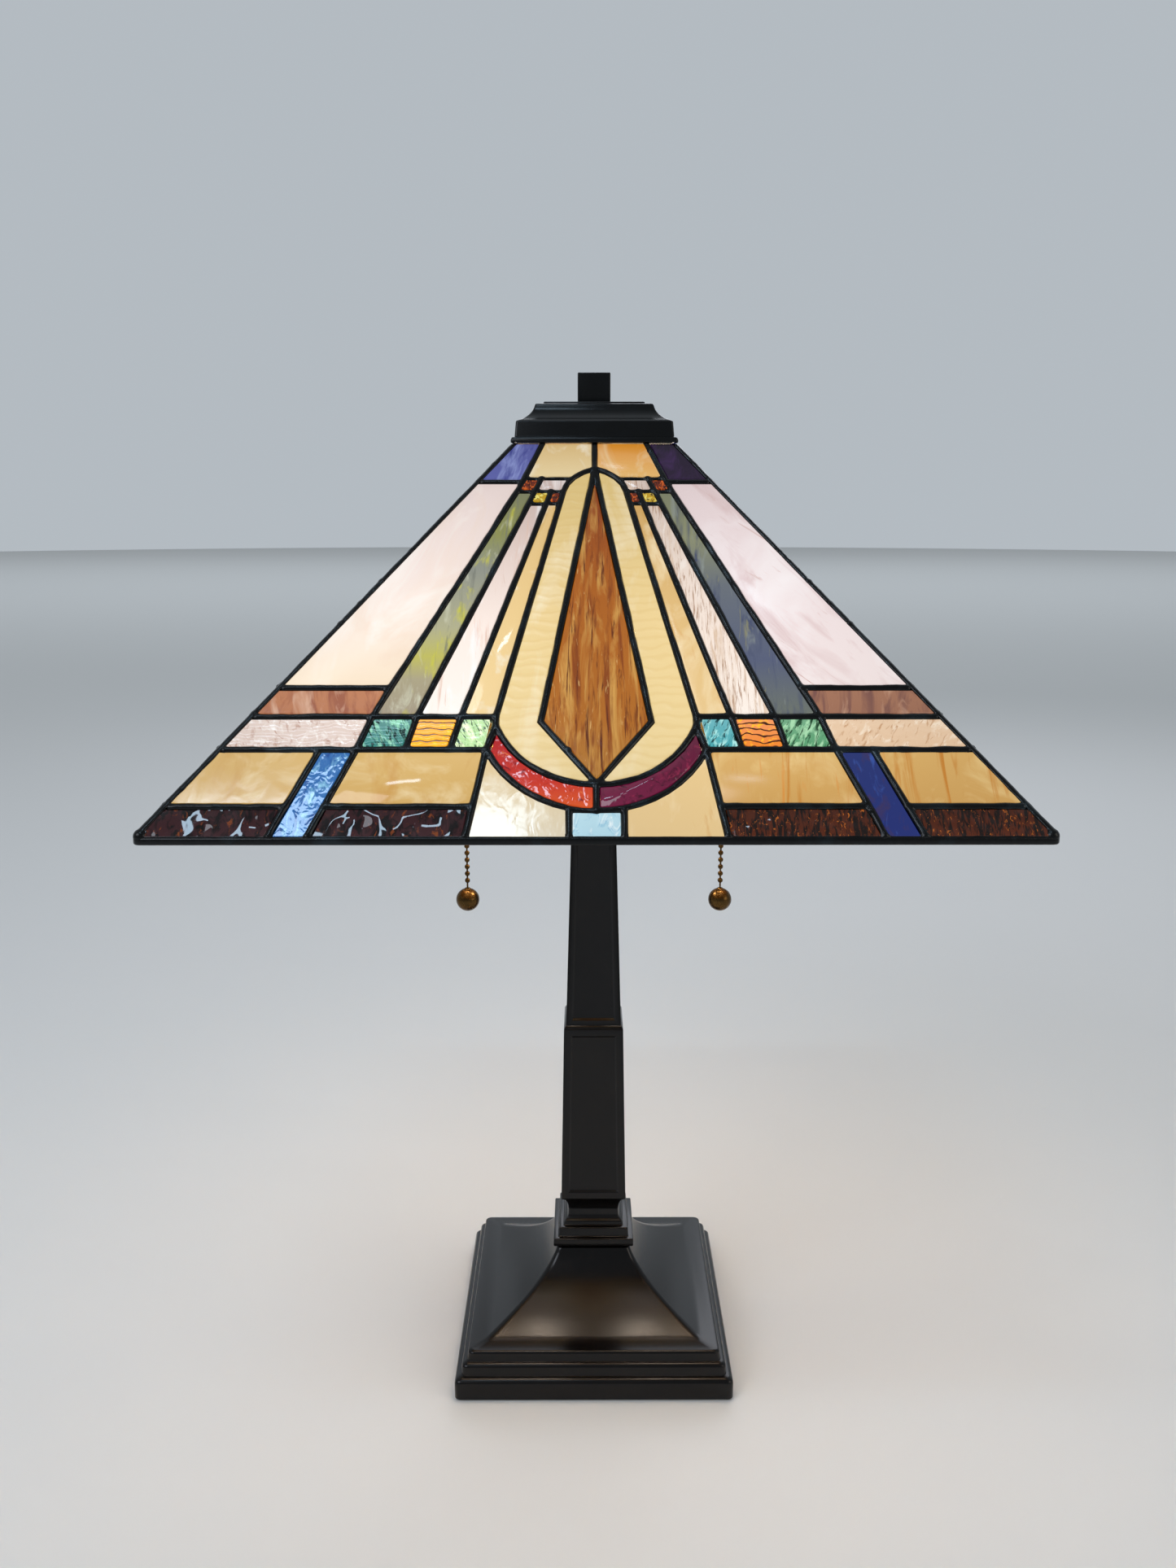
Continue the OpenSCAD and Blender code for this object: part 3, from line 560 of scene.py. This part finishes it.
def solder_work():
    """The lines of the four faces, all from one lattice, and the beads up the four hips."""
    half, middle = face_lines()
    lines = middle + half + [(w, [(-x, y) for x, y in p]) for w, p in half]
    lattice = bead_run("lattice", lines, 2.5, 0.35, 0.16)
    thicken(lattice, 1.25)
    # a small lump wherever lines meet
    joints = sorted({(round(x, 1), round(y, 1), w) for w, p in lines for x,
                     y in (p[0], p[-1]) if 5 < y < 232})
    lumps = [blob(x, y, 0, w * chance.uniform(1.08, 1.24), 1.1) for x, y, w in joints]
    # odd lumps where the iron was lifted and set down again
    for w, p in half:
        for a, b in zip(p, p[1:]):
            if chance.random() < 0.35 and abs(a[1] - b[1]) > 20:
                k, s = chance.uniform(0.15, 0.85), chance.choice((-1, 1))
                lumps.append(blob(s * (a[0] + (b[0] - a[0]) * k) + chance.uniform(-0.7, 0.7),
                                  a[1] + (b[1] - a[1]) * k, 0.4, chance.uniform(1.9, 2.3), 1.2))
    lattice = join("lattice", lattice, *lumps)
    fuse(lattice, 0.62, 0.22)
    cap_level = (CAP_Z - 0.05) * MM
    for k, side in enumerate(("front", "right", "back", "left")):
        piece = copy_of(lattice, "solder_lines_" + side, face_place(k))
        trim(piece)
        open_whole(piece)
        bpy.ops.mesh.bisect(plane_co=(0, 0, cap_level), plane_no=(0, 0, 1), clear_outer=True,
                            use_fill=True)
        close(piece)
        bpy.ops.object.shade_smooth()
        finish_piece(piece, "shade", "solder", PATINA_SOLDER, "solder_" + side)
    bpy.data.objects.remove(lattice)

    # Hips: one flat bead up each corner, heavier at the foot, run in the flat and then set in place
    corner = Vector((-FACE_FOOT[0], FACE_FOOT[0], FACE_FOOT[1]))
    rise = CAP_Z - 1.6 - FACE_FOOT[1]
    run = rise / math.tan(SLOPE)
    along = Vector((-run, run, rise))
    long = along.length
    along.normalize()
    outward = Vector((math.sin(SLOPE), -math.sin(SLOPE), 2 * math.cos(SLOPE))).normalized()
    sideways = outward.cross(along)
    width = lambda q: 1.85 + 0.35 * max(0.0, 1 - q.x / 90)
    hip = bead_run("hip", [(width, [(2.6, 0, 0), (long, 0, 0)])], 2.5, 0.25, 0.14)
    lumps = [blob(chance.uniform(8, long - 10), 0, 0.2, chance.uniform(1.9, 2.25), 0.9)
             for i in range(9)]
    hip = join("hip", hip, *lumps)
    thicken(hip, 0.6)
    place = Matrix((along, sideways, outward)).transposed().to_4x4()
    place.translation = (corner + outward * 0.75) * MM
    hip.data.transform(place)
    ball = blob(SHADE_HALF - 3.5, -SHADE_HALF + 3.5, RIM_Z + 3.4, 3.6)    # closes the rim's corner
    hip = join("hip", hip, ball)
    fuse(hip, 0.5, 0.3)
    hips = [copy_of(hip, "hip_%d" % k, Matrix.Rotation(k * math.pi / 2, 4, "Z")) for k in range(4)]
    bpy.data.objects.remove(hip)
    hips = join("hip_solder", *hips)
    trim(hips)
    close(hips)
    bpy.ops.object.shade_smooth()
    finish_piece(hips, "shade", "solder", PATINA_SOLDER, "hip_beads")


def rim():
    """The stiffening strip round the rim, dipped in solder and darkened."""
    bpy.ops.object.select_all(action="DESELECT")
    bpy.ops.mesh.primitive_cube_add(size=1, location=(0, 0, (RIM_Z + 1.85) * MM))
    band = bpy.context.object
    band.name = band.data.name = "rim_strip"
    band.scale = (2 * SHADE_HALF * MM, 2 * SHADE_HALF * MM, 3.7 * MM)
    bpy.ops.object.transform_apply(location=True, rotation=True, scale=True)
    pick_faces(band, lambda c, n: abs(n.z) > 0.9)
    bpy.ops.mesh.inset(thickness=5.2 * MM, use_individual=True)
    bpy.ops.mesh.bridge_edge_loops()
    close(band)
    outer_upright = lambda a, b: (a.xy - b.xy).length < 1e-6 and abs(a.x) > 0.2
    round_edges(band, outer_upright, CORNER_FILLET, 3)
    ease(band, 1.0, 3, 50)
    finish_piece(band, "shade", "bronze", PATINA_SOLDER, "rim_band")


# ---- Glass ----

def sheet_glass(name, ground, layers=(), relief="smooth", relief_mm=9, rough=0.14, glow=1.0, deep=1.0):
    """Machine-rolled art glass, lit from behind. ground gives its colour up the slope as (height in
    millimetres, colour). Each layer lies over it as (colour, across, along, from, to, lean): streaks
    that wide and long, showing where their noise passes from and solid at to, leaning by degrees.
    A layer with no width is a set of wavy lines, along millimetres apart. relief and deep shape the
    rolled surface, with bumps relief_mm wide; glow makes one kind brighter or darker than the rest."""
    m, t = blank(name)
    uv = add(t, "ShaderNodeUVMap", uv_map="face").outputs[0]
    where = add(t, "ShaderNodeSeparateXYZ", {0: uv})
    sheet = add(t, "ShaderNodeAttribute", attribute_name="sheet",
                attribute_type="GEOMETRY").outputs["Fac"]
    shifted = add(t, "ShaderNodeCombineXYZ", {0: sheet, 2: sheet})

    def laid(across, along, lean=0.0):
        turned = add(t, "ShaderNodeMapping", {"Vector": uv, "Rotation": (0, 0, math.radians(lean)),
                                              "Scale": (across * MM, along * MM, 1)},
                     vector_type="TEXTURE")
        return add(t, "ShaderNodeVectorMath", {0: turned.outputs[0], 1: shifted.outputs[0]},
                   operation="ADD").outputs[0]

    def ripples(spacing, lean=0.0):
        return add(t, "ShaderNodeTexWave", {"Vector": laid(1000, 1000, lean), "Scale": 314 / spacing,
                                            "Distortion": 6.0, "Detail": 2.0, "Detail Scale": 1.1},
                   bands_direction="Y").outputs["Fac"]

    height = add(t, "ShaderNodeMapRange", {0: where.outputs["Y"], 1: 0.0, 2: FACE_TOP * MM})
    colour = add(t, "ShaderNodeValToRGB", {"Fac": height.outputs[0]},
                 stops=[(max(0.0, y / FACE_TOP), c) for y, c in ground]).outputs[0]
    for over, across, along, low, high, *lean in layers:
        if across:
            cloud = add(t, "ShaderNodeTexNoise",
                        {"Vector": laid(across, along, *lean), "Scale": 1.0, "Detail": 4.0,
                                                  "Roughness": 0.6, "Distortion": 0.7}).outputs["Fac"]
        else:
            cloud = ripples(along, *lean)
        share = add(t, "ShaderNodeMapRange", {0: cloud, 1: low, 2: high})
        colour = mix(t, share.outputs[0], colour, over)

    # The light of the two bulbs through the sheet: strongest over each bulb, weakest at the corners
    bulb = add(t, "ShaderNodeAttribute", attribute_name="bulb",
               attribute_type="GEOMETRY").outputs["Fac"]
    side = add(t, "ShaderNodeMath", {0: where.outputs["X"]}, operation="ABSOLUTE")
    dx = add(t, "ShaderNodeMath", {0: side.outputs[0], 1: bulb}, operation="SUBTRACT")
    dy = add(t, "ShaderNodeMath", {0: where.outputs["Y"], 1: BULB_UP}, operation="SUBTRACT")
    off = add(t, "ShaderNodeCombineXYZ", {0: dx.outputs[0], 1: dy.outputs[0]})
    far = add(t, "ShaderNodeVectorMath", {0: off.outputs[0]}, operation="LENGTH")
    spot = add(t, "ShaderNodeMapRange", {0: far.outputs["Value"], 1: 0.0, 2: BULB_REACH,
                                          3: glow * GLOW_NEAR, 4: glow * GLOW_FAR},
               interpolation_type="SMOOTHERSTEP")
    lit = add(t, "ShaderNodeVectorMath", {0: colour, "Scale": spot.outputs[0]}, operation="SCALE")
    body = add(t, "ShaderNodeVectorMath", {0: colour, "Scale": UNLIT_SHARE}, operation="SCALE")

    # The rolled surface
    if relief == "hammered":
        skin = add(t, "ShaderNodeTexVoronoi",
                   {"Vector": laid(relief_mm, relief_mm * 1.3), "Scale": 1.0},
                   feature="SMOOTH_F1").outputs["Distance"]
    elif relief == "rippled":
        skin = ripples(relief_mm)
    else:
        skin = add(t, "ShaderNodeTexNoise",
                   {"Vector": laid(relief_mm, relief_mm * 1.6), "Scale": 1.0, "Detail": 2.0,
                                             "Distortion": 0.6}).outputs["Fac"]
    depth = {"smooth": 0.16, "rippled": 0.45, "hammered": 0.75}[relief]
    bump = add(t, "ShaderNodeBump",
               {"Height": skin, "Strength": depth, "Distance": relief_mm * 0.14 * deep * MM})
    surface(t, {"Base Color": body.outputs[0], "Roughness": rough, "IOR": 1.52,
                "Emission Color": lit.outputs[0], "Emission Strength": 1.0, "Normal": bump.outputs[0]})
    return m


def glass_racks():
    """The kinds of glass for each group of sheets: one for all, or left and right, or left and
    right near the middle and then left and right far out."""
    glass = sheet_glass
    lozenge = glass("streaky amber glass",
                    [(27, "#b57c33"), (60, "#b06a20"), (140, "#ac5f18"), (180, "#9a4a10"),
                     (217, "#84380c")],
                    [("#d09a4c", 5, 40, 0.50, 0.70), ("#8a4410", 3.4, 44, 0.52, 0.66),
                     ("#5c2408", 1.5, 26, 0.57, 0.68), ("#e2b771", 2.2, 14, 0.63, 0.76)], relief_mm=9)
    arch = glass("rippled cream glass", [(30, "#edd398"), (120, "#eed193"), (215, "#e3c57e")],
                 [("#f8e8c4", 22, 60, 0.50, 0.80), ("#dfbd76", None, 5.5, 0.55, 2.2)],
                 "rippled", 5.5, rough=0.32, deep=0.6)
    near_l = glass("cream caramel glass",
                   [(0, "#e6d8bc"), (38, "#e4c996"), (64, "#f3d59c"), (200, "#e4bd76"),
                    (212, "#efd7a4"), (234, "#dfbd80")],
                   [("#f6ead0", 14, 22, 0.52, 0.72), ("#dba75c", 12, 44, 0.58, 0.80, 8)],
                   relief_mm=7, rough=0.08, deep=0.6)
    near_r = glass("honey caramel glass",
                   [(0, "#e8c78d"), (38, "#ebc98d"), (64, "#e9c78c"), (200, "#d6a95e"),
                    (211, "#efbf74"), (234, "#e2922c")],
                   [("#f4dcae", 16, 40, 0.52, 0.76), ("#d2913e", 9, 36, 0.60, 0.82, 10)],
                   relief_mm=14, rough=0.26, deep=0.2)
    far_l = glass("caramel glass", [(16, "#d9b068"), (46, "#dfb974")],
                  [("#efd5a2", 24, 16, 0.50, 0.76), ("#d09c50", 14, 40, 0.56, 0.80)],
                  relief_mm=12, rough=0.10, deep=0.3)
    far_r = glass("streaky caramel glass", [(16, "#d3a35a"), (46, "#dcaf66")],
                  [("#ecca88", 22, 30, 0.52, 0.78), ("#c98430", 5, 60, 0.54, 0.70),
                   ("#dd8f3a", 3, 40, 0.62, 0.76)],
                  relief_mm=12, rough=0.26, deep=0.3)
    violet_l = glass("periwinkle glass", [(211, "#5d62a8"), (234, "#565a9c")],
                     [("#8a94cc", 5, 22, 0.50, 0.70, 20), ("#333a86", 6, 26, 0.54, 0.70, 20)])
    violet_r = glass("deep violet glass", [(211, "#24112f"), (234, "#1a0c24")],
                     [("#3c2050", 8, 20, 0.52, 0.74)])
    pale_l = glass("cream opal glass",
                   [(80, "#fbe6c9"), (115, "#fbeadb"), (150, "#f6e4db"), (208, "#eedad4")],
                   [("#f1d6bd", 40, 70, 0.48, 0.85, 20), ("#fff8ef", 26, 60, 0.54, 0.80, 20)],
                   relief_mm=22, rough=0.34, deep=0.2)
    pale_r = glass("pink opal glass", [(80, "#f1e2df"), (150, "#eedddc"), (208, "#e8d3d2")],
                   [("#f8efee", 40, 60, 0.50, 0.80), ("#d9bcba", 15, 60, 0.50, 0.72, 36),
                    ("#cda79e", 3, 30, 0.64, 0.76, 48)], relief_mm=22, rough=0.34, deep=0.2)
    red = glass("orange red glass", [(193, "#6a2006"), (211, "#6e2207")],
                [("#e0661a", 2.4, 3, 0.49, 0.58), ("#2c0802", 2, 2.6, 0.53, 0.60)],
                "hammered", 3, glow=0.85)
    gold = glass("golden glass", [(193, "#c29a1e"), (211, "#c9a428")],
                 [("#f6e67a", 2.4, 3, 0.48, 0.58), ("#4e3a08", 2, 2.4, 0.54, 0.62)], "hammered", 3)
    moss_l = glass("moss streaky glass",
                   [(63, "#a3957f"), (84, "#a99f80"), (97, "#bdb75a"), (114, "#aeab88"),
                    (150, "#8f9186"), (172, "#8f9152"), (208, "#797a62")],
                   [("#c9c540", 10, 26, 0.56, 0.70), ("#d6d6bc", 8, 30, 0.56, 0.74),
                    ("#74766c", 5, 40, 0.56, 0.72)])
    moss_r = glass("slate streaky glass",
                   [(63, "#6a7066"), (95, "#545b74"), (140, "#666c74"), (170, "#8a8c6e"),
                    (208, "#7c7e62")],
                   [("#414966", 8, 40, 0.50, 0.68), ("#8d9490", 6, 36, 0.57, 0.74),
                    ("#a09a5c", 5, 30, 0.62, 0.78)])
    wisp_l = glass("white wispy glass",
                   [(64, "#fff4ea"), (112, "#fbeadf"), (160, "#e6d0c6"), (204, "#cdb5ac")],
                   [("#ffffff", 8, 40, 0.52, 0.78), ("#e2c0ae", 4, 44, 0.55, 0.74),
                    ("#c9a08c", 1.6, 30, 0.64, 0.78)])
    wisp_r = glass("pink wispy glass",
                   [(64, "#fbeee2"), (112, "#f4e2d4"), (160, "#e9d6c8"), (204, "#dcc8bc")],
                   [("#dcc0a6", 2.6, 30, 0.50, 0.68), ("#ab866c", 0.9, 12, 0.53, 0.66),
                    ("#fff6ee", 5, 30, 0.58, 0.78)])
    side_l = glass("rippled pale pink glass", [(45, "#e8d3c8"), (63, "#ead6ca")],
                   [("#fbf0e8", 4, 6, 0.52, 0.66, -30), ("#c9a594", 3, 6, 0.55, 0.68, -30)],
                   "rippled", 4)
    side_r = glass("rippled peach glass", [(45, "#e9c6a2"), (63, "#ebcbaa")],
                   [("#f8e2c8", 4, 7, 0.52, 0.66, -30), ("#c99c74", 2, 7, 0.56, 0.68, -30)],
                   "rippled", 4)
    russet_l = glass("russet glass", [(63, "#bb7a55"), (80, "#c0805a")],
                     [("#a05f44", 7, 30, 0.48, 0.64, -6), ("#dcb094", 8, 30, 0.54, 0.72, -6)])
    russet_r = glass("mauve brown glass", [(63, "#9c6c54"), (80, "#a37258")],
                     [("#785048", 7, 30, 0.48, 0.64, -6), ("#c99c80", 8, 26, 0.54, 0.72, -6)])
    tiles = [glass(n, [(45, c)], [(light, 3, 9, 0.48, 0.60, -24), (dark, 2, 8, 0.52, 0.60, -24)],
                   "rippled", 4, glow=1.15)
             for n, c, light, dark in (("pale green streaky glass", "#b4dc98", "#f2ffd2", "#31503a"),
                                       ("turquoise streaky glass", "#3f9fa6", "#a8e2dc", "#123c40"),
                                       ("teal streaky glass", "#2f7f78", "#93d3b4", "#0f2f2a"),
                                       ("sea green streaky glass", "#4d9464", "#9fd0a4", "#173f24"))]
    orange_l = glass("orange ripple glass", [(45, "#ffa604")],
                     [("#ffc428", 4, 5, 0.54, 0.72), ("#4a2404", None, 3.4, 0.86, 0.98)],
                     "rippled", 3.4, glow=1.3)
    orange_r = glass("burnt orange ripple glass", [(45, "#dc780c")],
                     [("#ffb020", 3, 3, 0.55, 0.64), ("#3c1603", None, 3.2, 0.80, 0.95)],
                     "rippled", 3.2, glow=1.3)
    crimson = glass("red orange glass", [(14, "#e25c26"), (28, "#cc3626"), (58, "#a81826")],
                    [("#7a0f1e", 5, 5, 0.56, 0.70), ("#f08a4a", 5, 6, 0.62, 0.76)],
                    relief_mm=5, rough=0.07, deep=3.0)
    plum = glass("plum glass", [(14, "#751a40"), (58, "#56102e")],
                 [("#3c0820", 6, 6, 0.52, 0.68), ("#98284c", 5, 6, 0.58, 0.74)],
                 relief_mm=5, rough=0.07, deep=3.0)
    # The pale cyan patches over the sky blue are partly the sheet's own mottling and partly painted
    # reflection of the room's light.
    blue = glass("sky blue mottled glass with painted reflections", [(0, "#3876bc"), (46, "#386fb0")],
                 [("#8fcbe8", 4, 8, 0.54, 0.70), ("#244c94", 5, 10, 0.53, 0.68)],
                 relief_mm=5, rough=0.07, deep=2.5)
    navy = glass("navy mottled glass", [(0, "#1f2d74"), (46, "#23316f")],
                 [("#3a2f5c", 6, 12, 0.52, 0.68), ("#34509c", 4, 14, 0.58, 0.72)])
    umber_l = glass("hammered umber glass", [(0, "#3a1c20"), (16, "#301519")],
                    [("#0e0608", 4, 8, 0.46, 0.58), ("#7a3c18", 3, 5, 0.60, 0.70)],
                    "hammered", 9, rough=0.05, deep=3.6)
    umber_r = glass("hammered cocoa glass", [(0, "#552208"), (16, "#431a06")],
                    [("#140702", 1.8, 9, 0.46, 0.56), ("#b4601a", 1.4, 2.6, 0.60, 0.68)],
                    "hammered", 4, rough=0.08, deep=1.6)
    sky = glass("ice blue glass", [(0, "#b6dcea"), (14, "#c2e4ee")],
                [("#8fc3dc", 4, 7, 0.52, 0.68), ("#eefbfd", 4, 9, 0.55, 0.70)], relief_mm=6)
    return {
        "glass_lozenge": [lozenge], "glass_arch": [arch],
        "glass_caramel": [near_l, near_r, far_l, far_r],
        "glass_corner_violet": [violet_l, violet_r], "glass_pale_panel": [pale_l, pale_r],
        "glass_red_jewel": [red], "glass_gold_jewel": [gold], "glass_moss_strip": [moss_l, moss_r],
        "glass_pink_opal": [wisp_l, wisp_r, side_l, side_r], "glass_russet_bar": [russet_l, russet_r],
        "glass_teal_tile": tiles, "glass_orange_tile": [orange_l, orange_r],
        "glass_crescent": [crimson, plum], "glass_blue_strip": [blue, navy],
        "glass_dark_bar": [umber_l, umber_r], "glass_sky_tile": [sky],
    }


def islands(mesh):
    """The separate sheets of a mesh, each as its face numbers and the way back to its flat face."""
    home = list(range(len(mesh.vertices)))

    def root(i):
        while home[i] != i:
            home[i] = home[home[i]]
            i = home[i]
        return i
    for f in mesh.polygons:
        a = root(f.vertices[0])
        for v in f.vertices[1:]:
            home[root(v)] = a
    sheets = {}
    for f in mesh.polygons:
        sheets.setdefault(root(f.vertices[0]), []).append(f.index)
    out = []
    for faces in (sheets[k] for k in sorted(sheets)):
        centre = sum((mesh.polygons[i].center for i in faces), Vector()) / len(faces)
        k = 0 if abs(centre.y) > abs(centre.x) else 1
        k += 2 if (centre.y > 0 if k == 0 else centre.x < 0) else 0
        back = face_place(k).inverted()
        out.append((faces, k, back, (back @ centre).x))
    return out


def tuck_in(mesh):
    """Slides the sheets' outer edges nearly to the hips and the rim, under the solder."""
    for faces, k, back, half in islands(mesh):
        for i in {v for f in faces for v in mesh.polygons[f].vertices}:
            p = back @ mesh.vertices[i].co
            if p.y < 2.2 * MM:
                p.y -= 1.0 * MM
            if abs(p.x) / MM > hip_at(p.y / MM, 3.6):
                p.x = math.copysign(hip_at(p.y / MM, 1.15) * MM, p.x)
            mesh.vertices[i].co = back.inverted() @ p


def glazed():
    """The sheets, cut from the CAD outlines, each marked with its place on its face."""
    far_out = {"glass_teal_tile": 75, "glass_caramel": 60, "glass_pink_opal": 90}
    for node, rack in glass_racks().items():
        name = node.replace("glass_", "") + "_sheets"
        sheets = bpy.data.objects.new(name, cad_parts[node].data.copy())
        sheets.data.name = name
        bpy.context.scene.collection.objects.link(sheets)
        open_whole(sheets)
        bpy.ops.mesh.remove_doubles(threshold=TOUCH)
        bpy.ops.mesh.customdata_custom_splitnormals_clear()
        bpy.ops.mesh.dissolve_limited(angle_limit=math.radians(1))
        bpy.ops.mesh.normals_make_consistent(inside=False)
        bpy.ops.object.mode_set(mode="OBJECT")
        tuck_in(sheets.data)
        modify(sheets, "BEVEL", width=0.3 * MM, segments=1, limit_method="ANGLE",
               angle_limit=math.radians(60))
        mesh = sheets.data
        for u in list(mesh.uv_layers):
            mesh.uv_layers.remove(u)
        uv = mesh.uv_layers.new(name="face")
        cut = mesh.attributes.new("sheet", "FLOAT", "FACE")
        bulb = mesh.attributes.new("bulb", "FLOAT", "FACE")
        finish_piece(sheets, "shade", node, rack[0], node)
        for kind in rack[1:]:
            mesh.materials.append(kind)
        for faces, k, back, half in islands(mesh):
            offset = chance.uniform(0, 60)
            mirror = -1 if half < -1 * MM else 1
            pick = (half > 0) + 2 * (abs(half) > far_out.get(node, 999) * MM)
            for i in faces:
                f = mesh.polygons[i]
                cut.data[i].value = offset
                bulb.data[i].value = BULB_ASIDE if k in (0, 2) else 0.0
                f.material_index = min(pick, len(rack) - 1)
                for loop in f.loop_indices:
                    p = back @ mesh.vertices[mesh.loops[loop].vertex_index].co
                    uv.data[loop].uv = (p.x * mirror, p.y)


# ---- Pull chains, bulbs and the parts under the shade ----

def small_parts():
    """The chains' balls and the bulbs, and a finish for every CAD part that shows as it is."""
    for side, body, x in (("left", "left_chain", -SOCKET_X), ("right", "right_chain", SOCKET_X)):
        low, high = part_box(side + "_pull_ball")
        r = (high.x - low.x) / 2
        bpy.ops.object.select_all(action="DESELECT")
        bpy.ops.mesh.primitive_uv_sphere_add(segments=48, ring_count=24, radius=r,
                                             location=(x * MM, -CHAIN_OUT * MM, low.z + r))
        ball = bpy.context.object
        ball.name = ball.data.name = side + "_chain_ball"
        bpy.ops.object.transform_apply(location=True, rotation=True, scale=True)
        top = low.z + r
        pick_faces(ball, lambda c, n: c.z > top + r * 0.955)
        bpy.ops.mesh.extrude_region_move(TRANSFORM_OT_translate={"value": (0, 0, 0.35 * MM)})
        bpy.ops.transform.resize(value=(0.8, 0.8, 0.3),
                                 center_override=(x * MM, -CHAIN_OUT * MM, high.z - 0.2 * MM))
        close(ball)
        smooth(ball)
        finish_piece(ball, body, "chain_brass", ANTIQUE_BRASS, side + "_pull_ball")

    glow = bulb_finish()
    for side, x in (("left", -SOCKET_X), ("right", SOCKET_X)):
        shape = ([(10.8, BULB_Z - 4), (11.6, BULB_Z - 3.6), (12.4, BULB_Z + 2)]
                 + curve((12.7, BULB_Z + 5), (15, BULB_Z + 17), (23.4, BULB_Z + 25), 6)
                 + [(BULB_R * math.cos(math.radians(a)),
                     BULB_MIDDLE_Z + BULB_R * math.sin(math.radians(a)))
                    for a in range(-30, 90, 8)])
        bulb = drawn_up(side + "_bulb", shape, 40, (x, 0))
        smooth(bulb)
        finish_piece(bulb, side + "_bulb", "bulb_glass", glow, side + "_bulb_glass")

    dressed = {
        BRONZE_PAINT: ["post_top_plate"],
               ZINC_PLATE: ["ballast_screws", "pipe_lock_washer", "pipe_nuts"],
        GREY_IRON: ["ballast_plate"], BLACK_PHENOLIC: ["cord_bushing", "switch_bodies"],
        LAMP_BRASS: ["lamp_pipe", "riser_rod", "cluster_body", "cluster_cover", "cluster_arms",
                     "riser_lock_nuts",
                     "socket_caps", "socket_shells", "screw_shells", "centre_contacts", "chain_bells",
                     "top_ring",
                     "shade_spider"],
        FIBRE_SLEEVE: ["socket_liners"], BULB_CAP: ["left_bulb_base", "right_bulb_base"],
        ANTIQUE_BRASS: ["left_pull_link", "left_bead_chain", "right_pull_link", "right_bead_chain"],
        felt_finish(): ["felt_pad"],
    }
    for material, nodes in dressed.items():
        for n in nodes:
            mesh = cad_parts[n].data
            mesh.materials.clear()
            mesh.materials.append(material)


stand()
crown()
solder_work()
rim()
glazed()
small_parts()


# ---- Studio ----

CAMERA_AT = (-0.0053, -0.75235, 0.51775)
CAMERA_DOWN, CAMERA_TURN = 12.336, -0.1525    # degrees


def studio():
    """A pale floor under a soft sky, large soft lights, and the camera in front of the lamp."""
    bpy.ops.object.select_all(action="DESELECT")
    bpy.ops.mesh.primitive_circle_add(vertices=96, radius=14, fill_type="NGON",
                                      location=(0, 0, -0.0002))
    floor = bpy.context.object
    floor.name = "studio_floor"
    m, t = blank("pale studio floor")
    surface(t, {"Base Color": tint("#dededc"), "Roughness": 0.8})
    floor.data.materials.append(m)

    world = bpy.data.worlds.new("studio")
    bpy.context.scene.world = world
    world.use_nodes = True
    t = world.node_tree
    toward = add(t, "ShaderNodeSeparateXYZ", {0: add(t, "ShaderNodeTexCoord").outputs["Generated"]})
    level = add(t, "ShaderNodeMapRange", {0: toward.outputs["Y"], 1: -0.4, 2: 0.5, 3: 0.42, 4: 0.78})
    t.nodes["Background"].inputs[0].default_value = tint("#c9d1d8")
    t.links.new(level.outputs[0], t.nodes["Background"].inputs[1])

    def softbox(name, place, size, power, colour, aim=(0, 0, 0.3)):
        """A rectangular light aimed at a point, or straight down."""
        data = bpy.data.lights.new(name, "AREA")
        data.shape, data.size, data.size_y = "RECTANGLE", size[0], size[1]
        data.energy, data.color = power, tint(colour)[:3]
        lamp = bpy.data.objects.new(name, data)
        lamp.location = place
        if aim:
            lamp.rotation_euler = (Vector(aim) - Vector(place)).to_track_quat("-Z", "Y").to_euler()
        bpy.context.scene.collection.objects.link(lamp)

    softbox("key", (-1.5, -1.5, 1.7), (1.4, 1.0), 18, "#eef4ff")
    softbox("fill", (1.9, -1.2, 1.1), (1.2, 1.2), 8, "#fff4e6")
    softbox("back", (0.4, 1.8, 1.6), (1.6, 0.8), 10, "#f4f6ff")
    softbox("overhead", (-0.41, -0.775, 2.0), (0.62, 0.15), 4, "#cbe8ff", None)
    softbox("horizon", (0, 7.5, 3.4), (12, 6), 120, "#dfe8f2", None)

    data = bpy.data.cameras.new("camera")
    data.lens, data.sensor_width = 29.9, 36
    camera = bpy.data.objects.new("camera", data)
    camera.location = CAMERA_AT
    camera.rotation_euler = (math.radians(90 - CAMERA_DOWN), 0, math.radians(CAMERA_TURN))
    bpy.context.scene.collection.objects.link(camera)
    bpy.context.scene.camera = camera
    bpy.context.scene.view_settings.view_transform = "Standard"


studio()
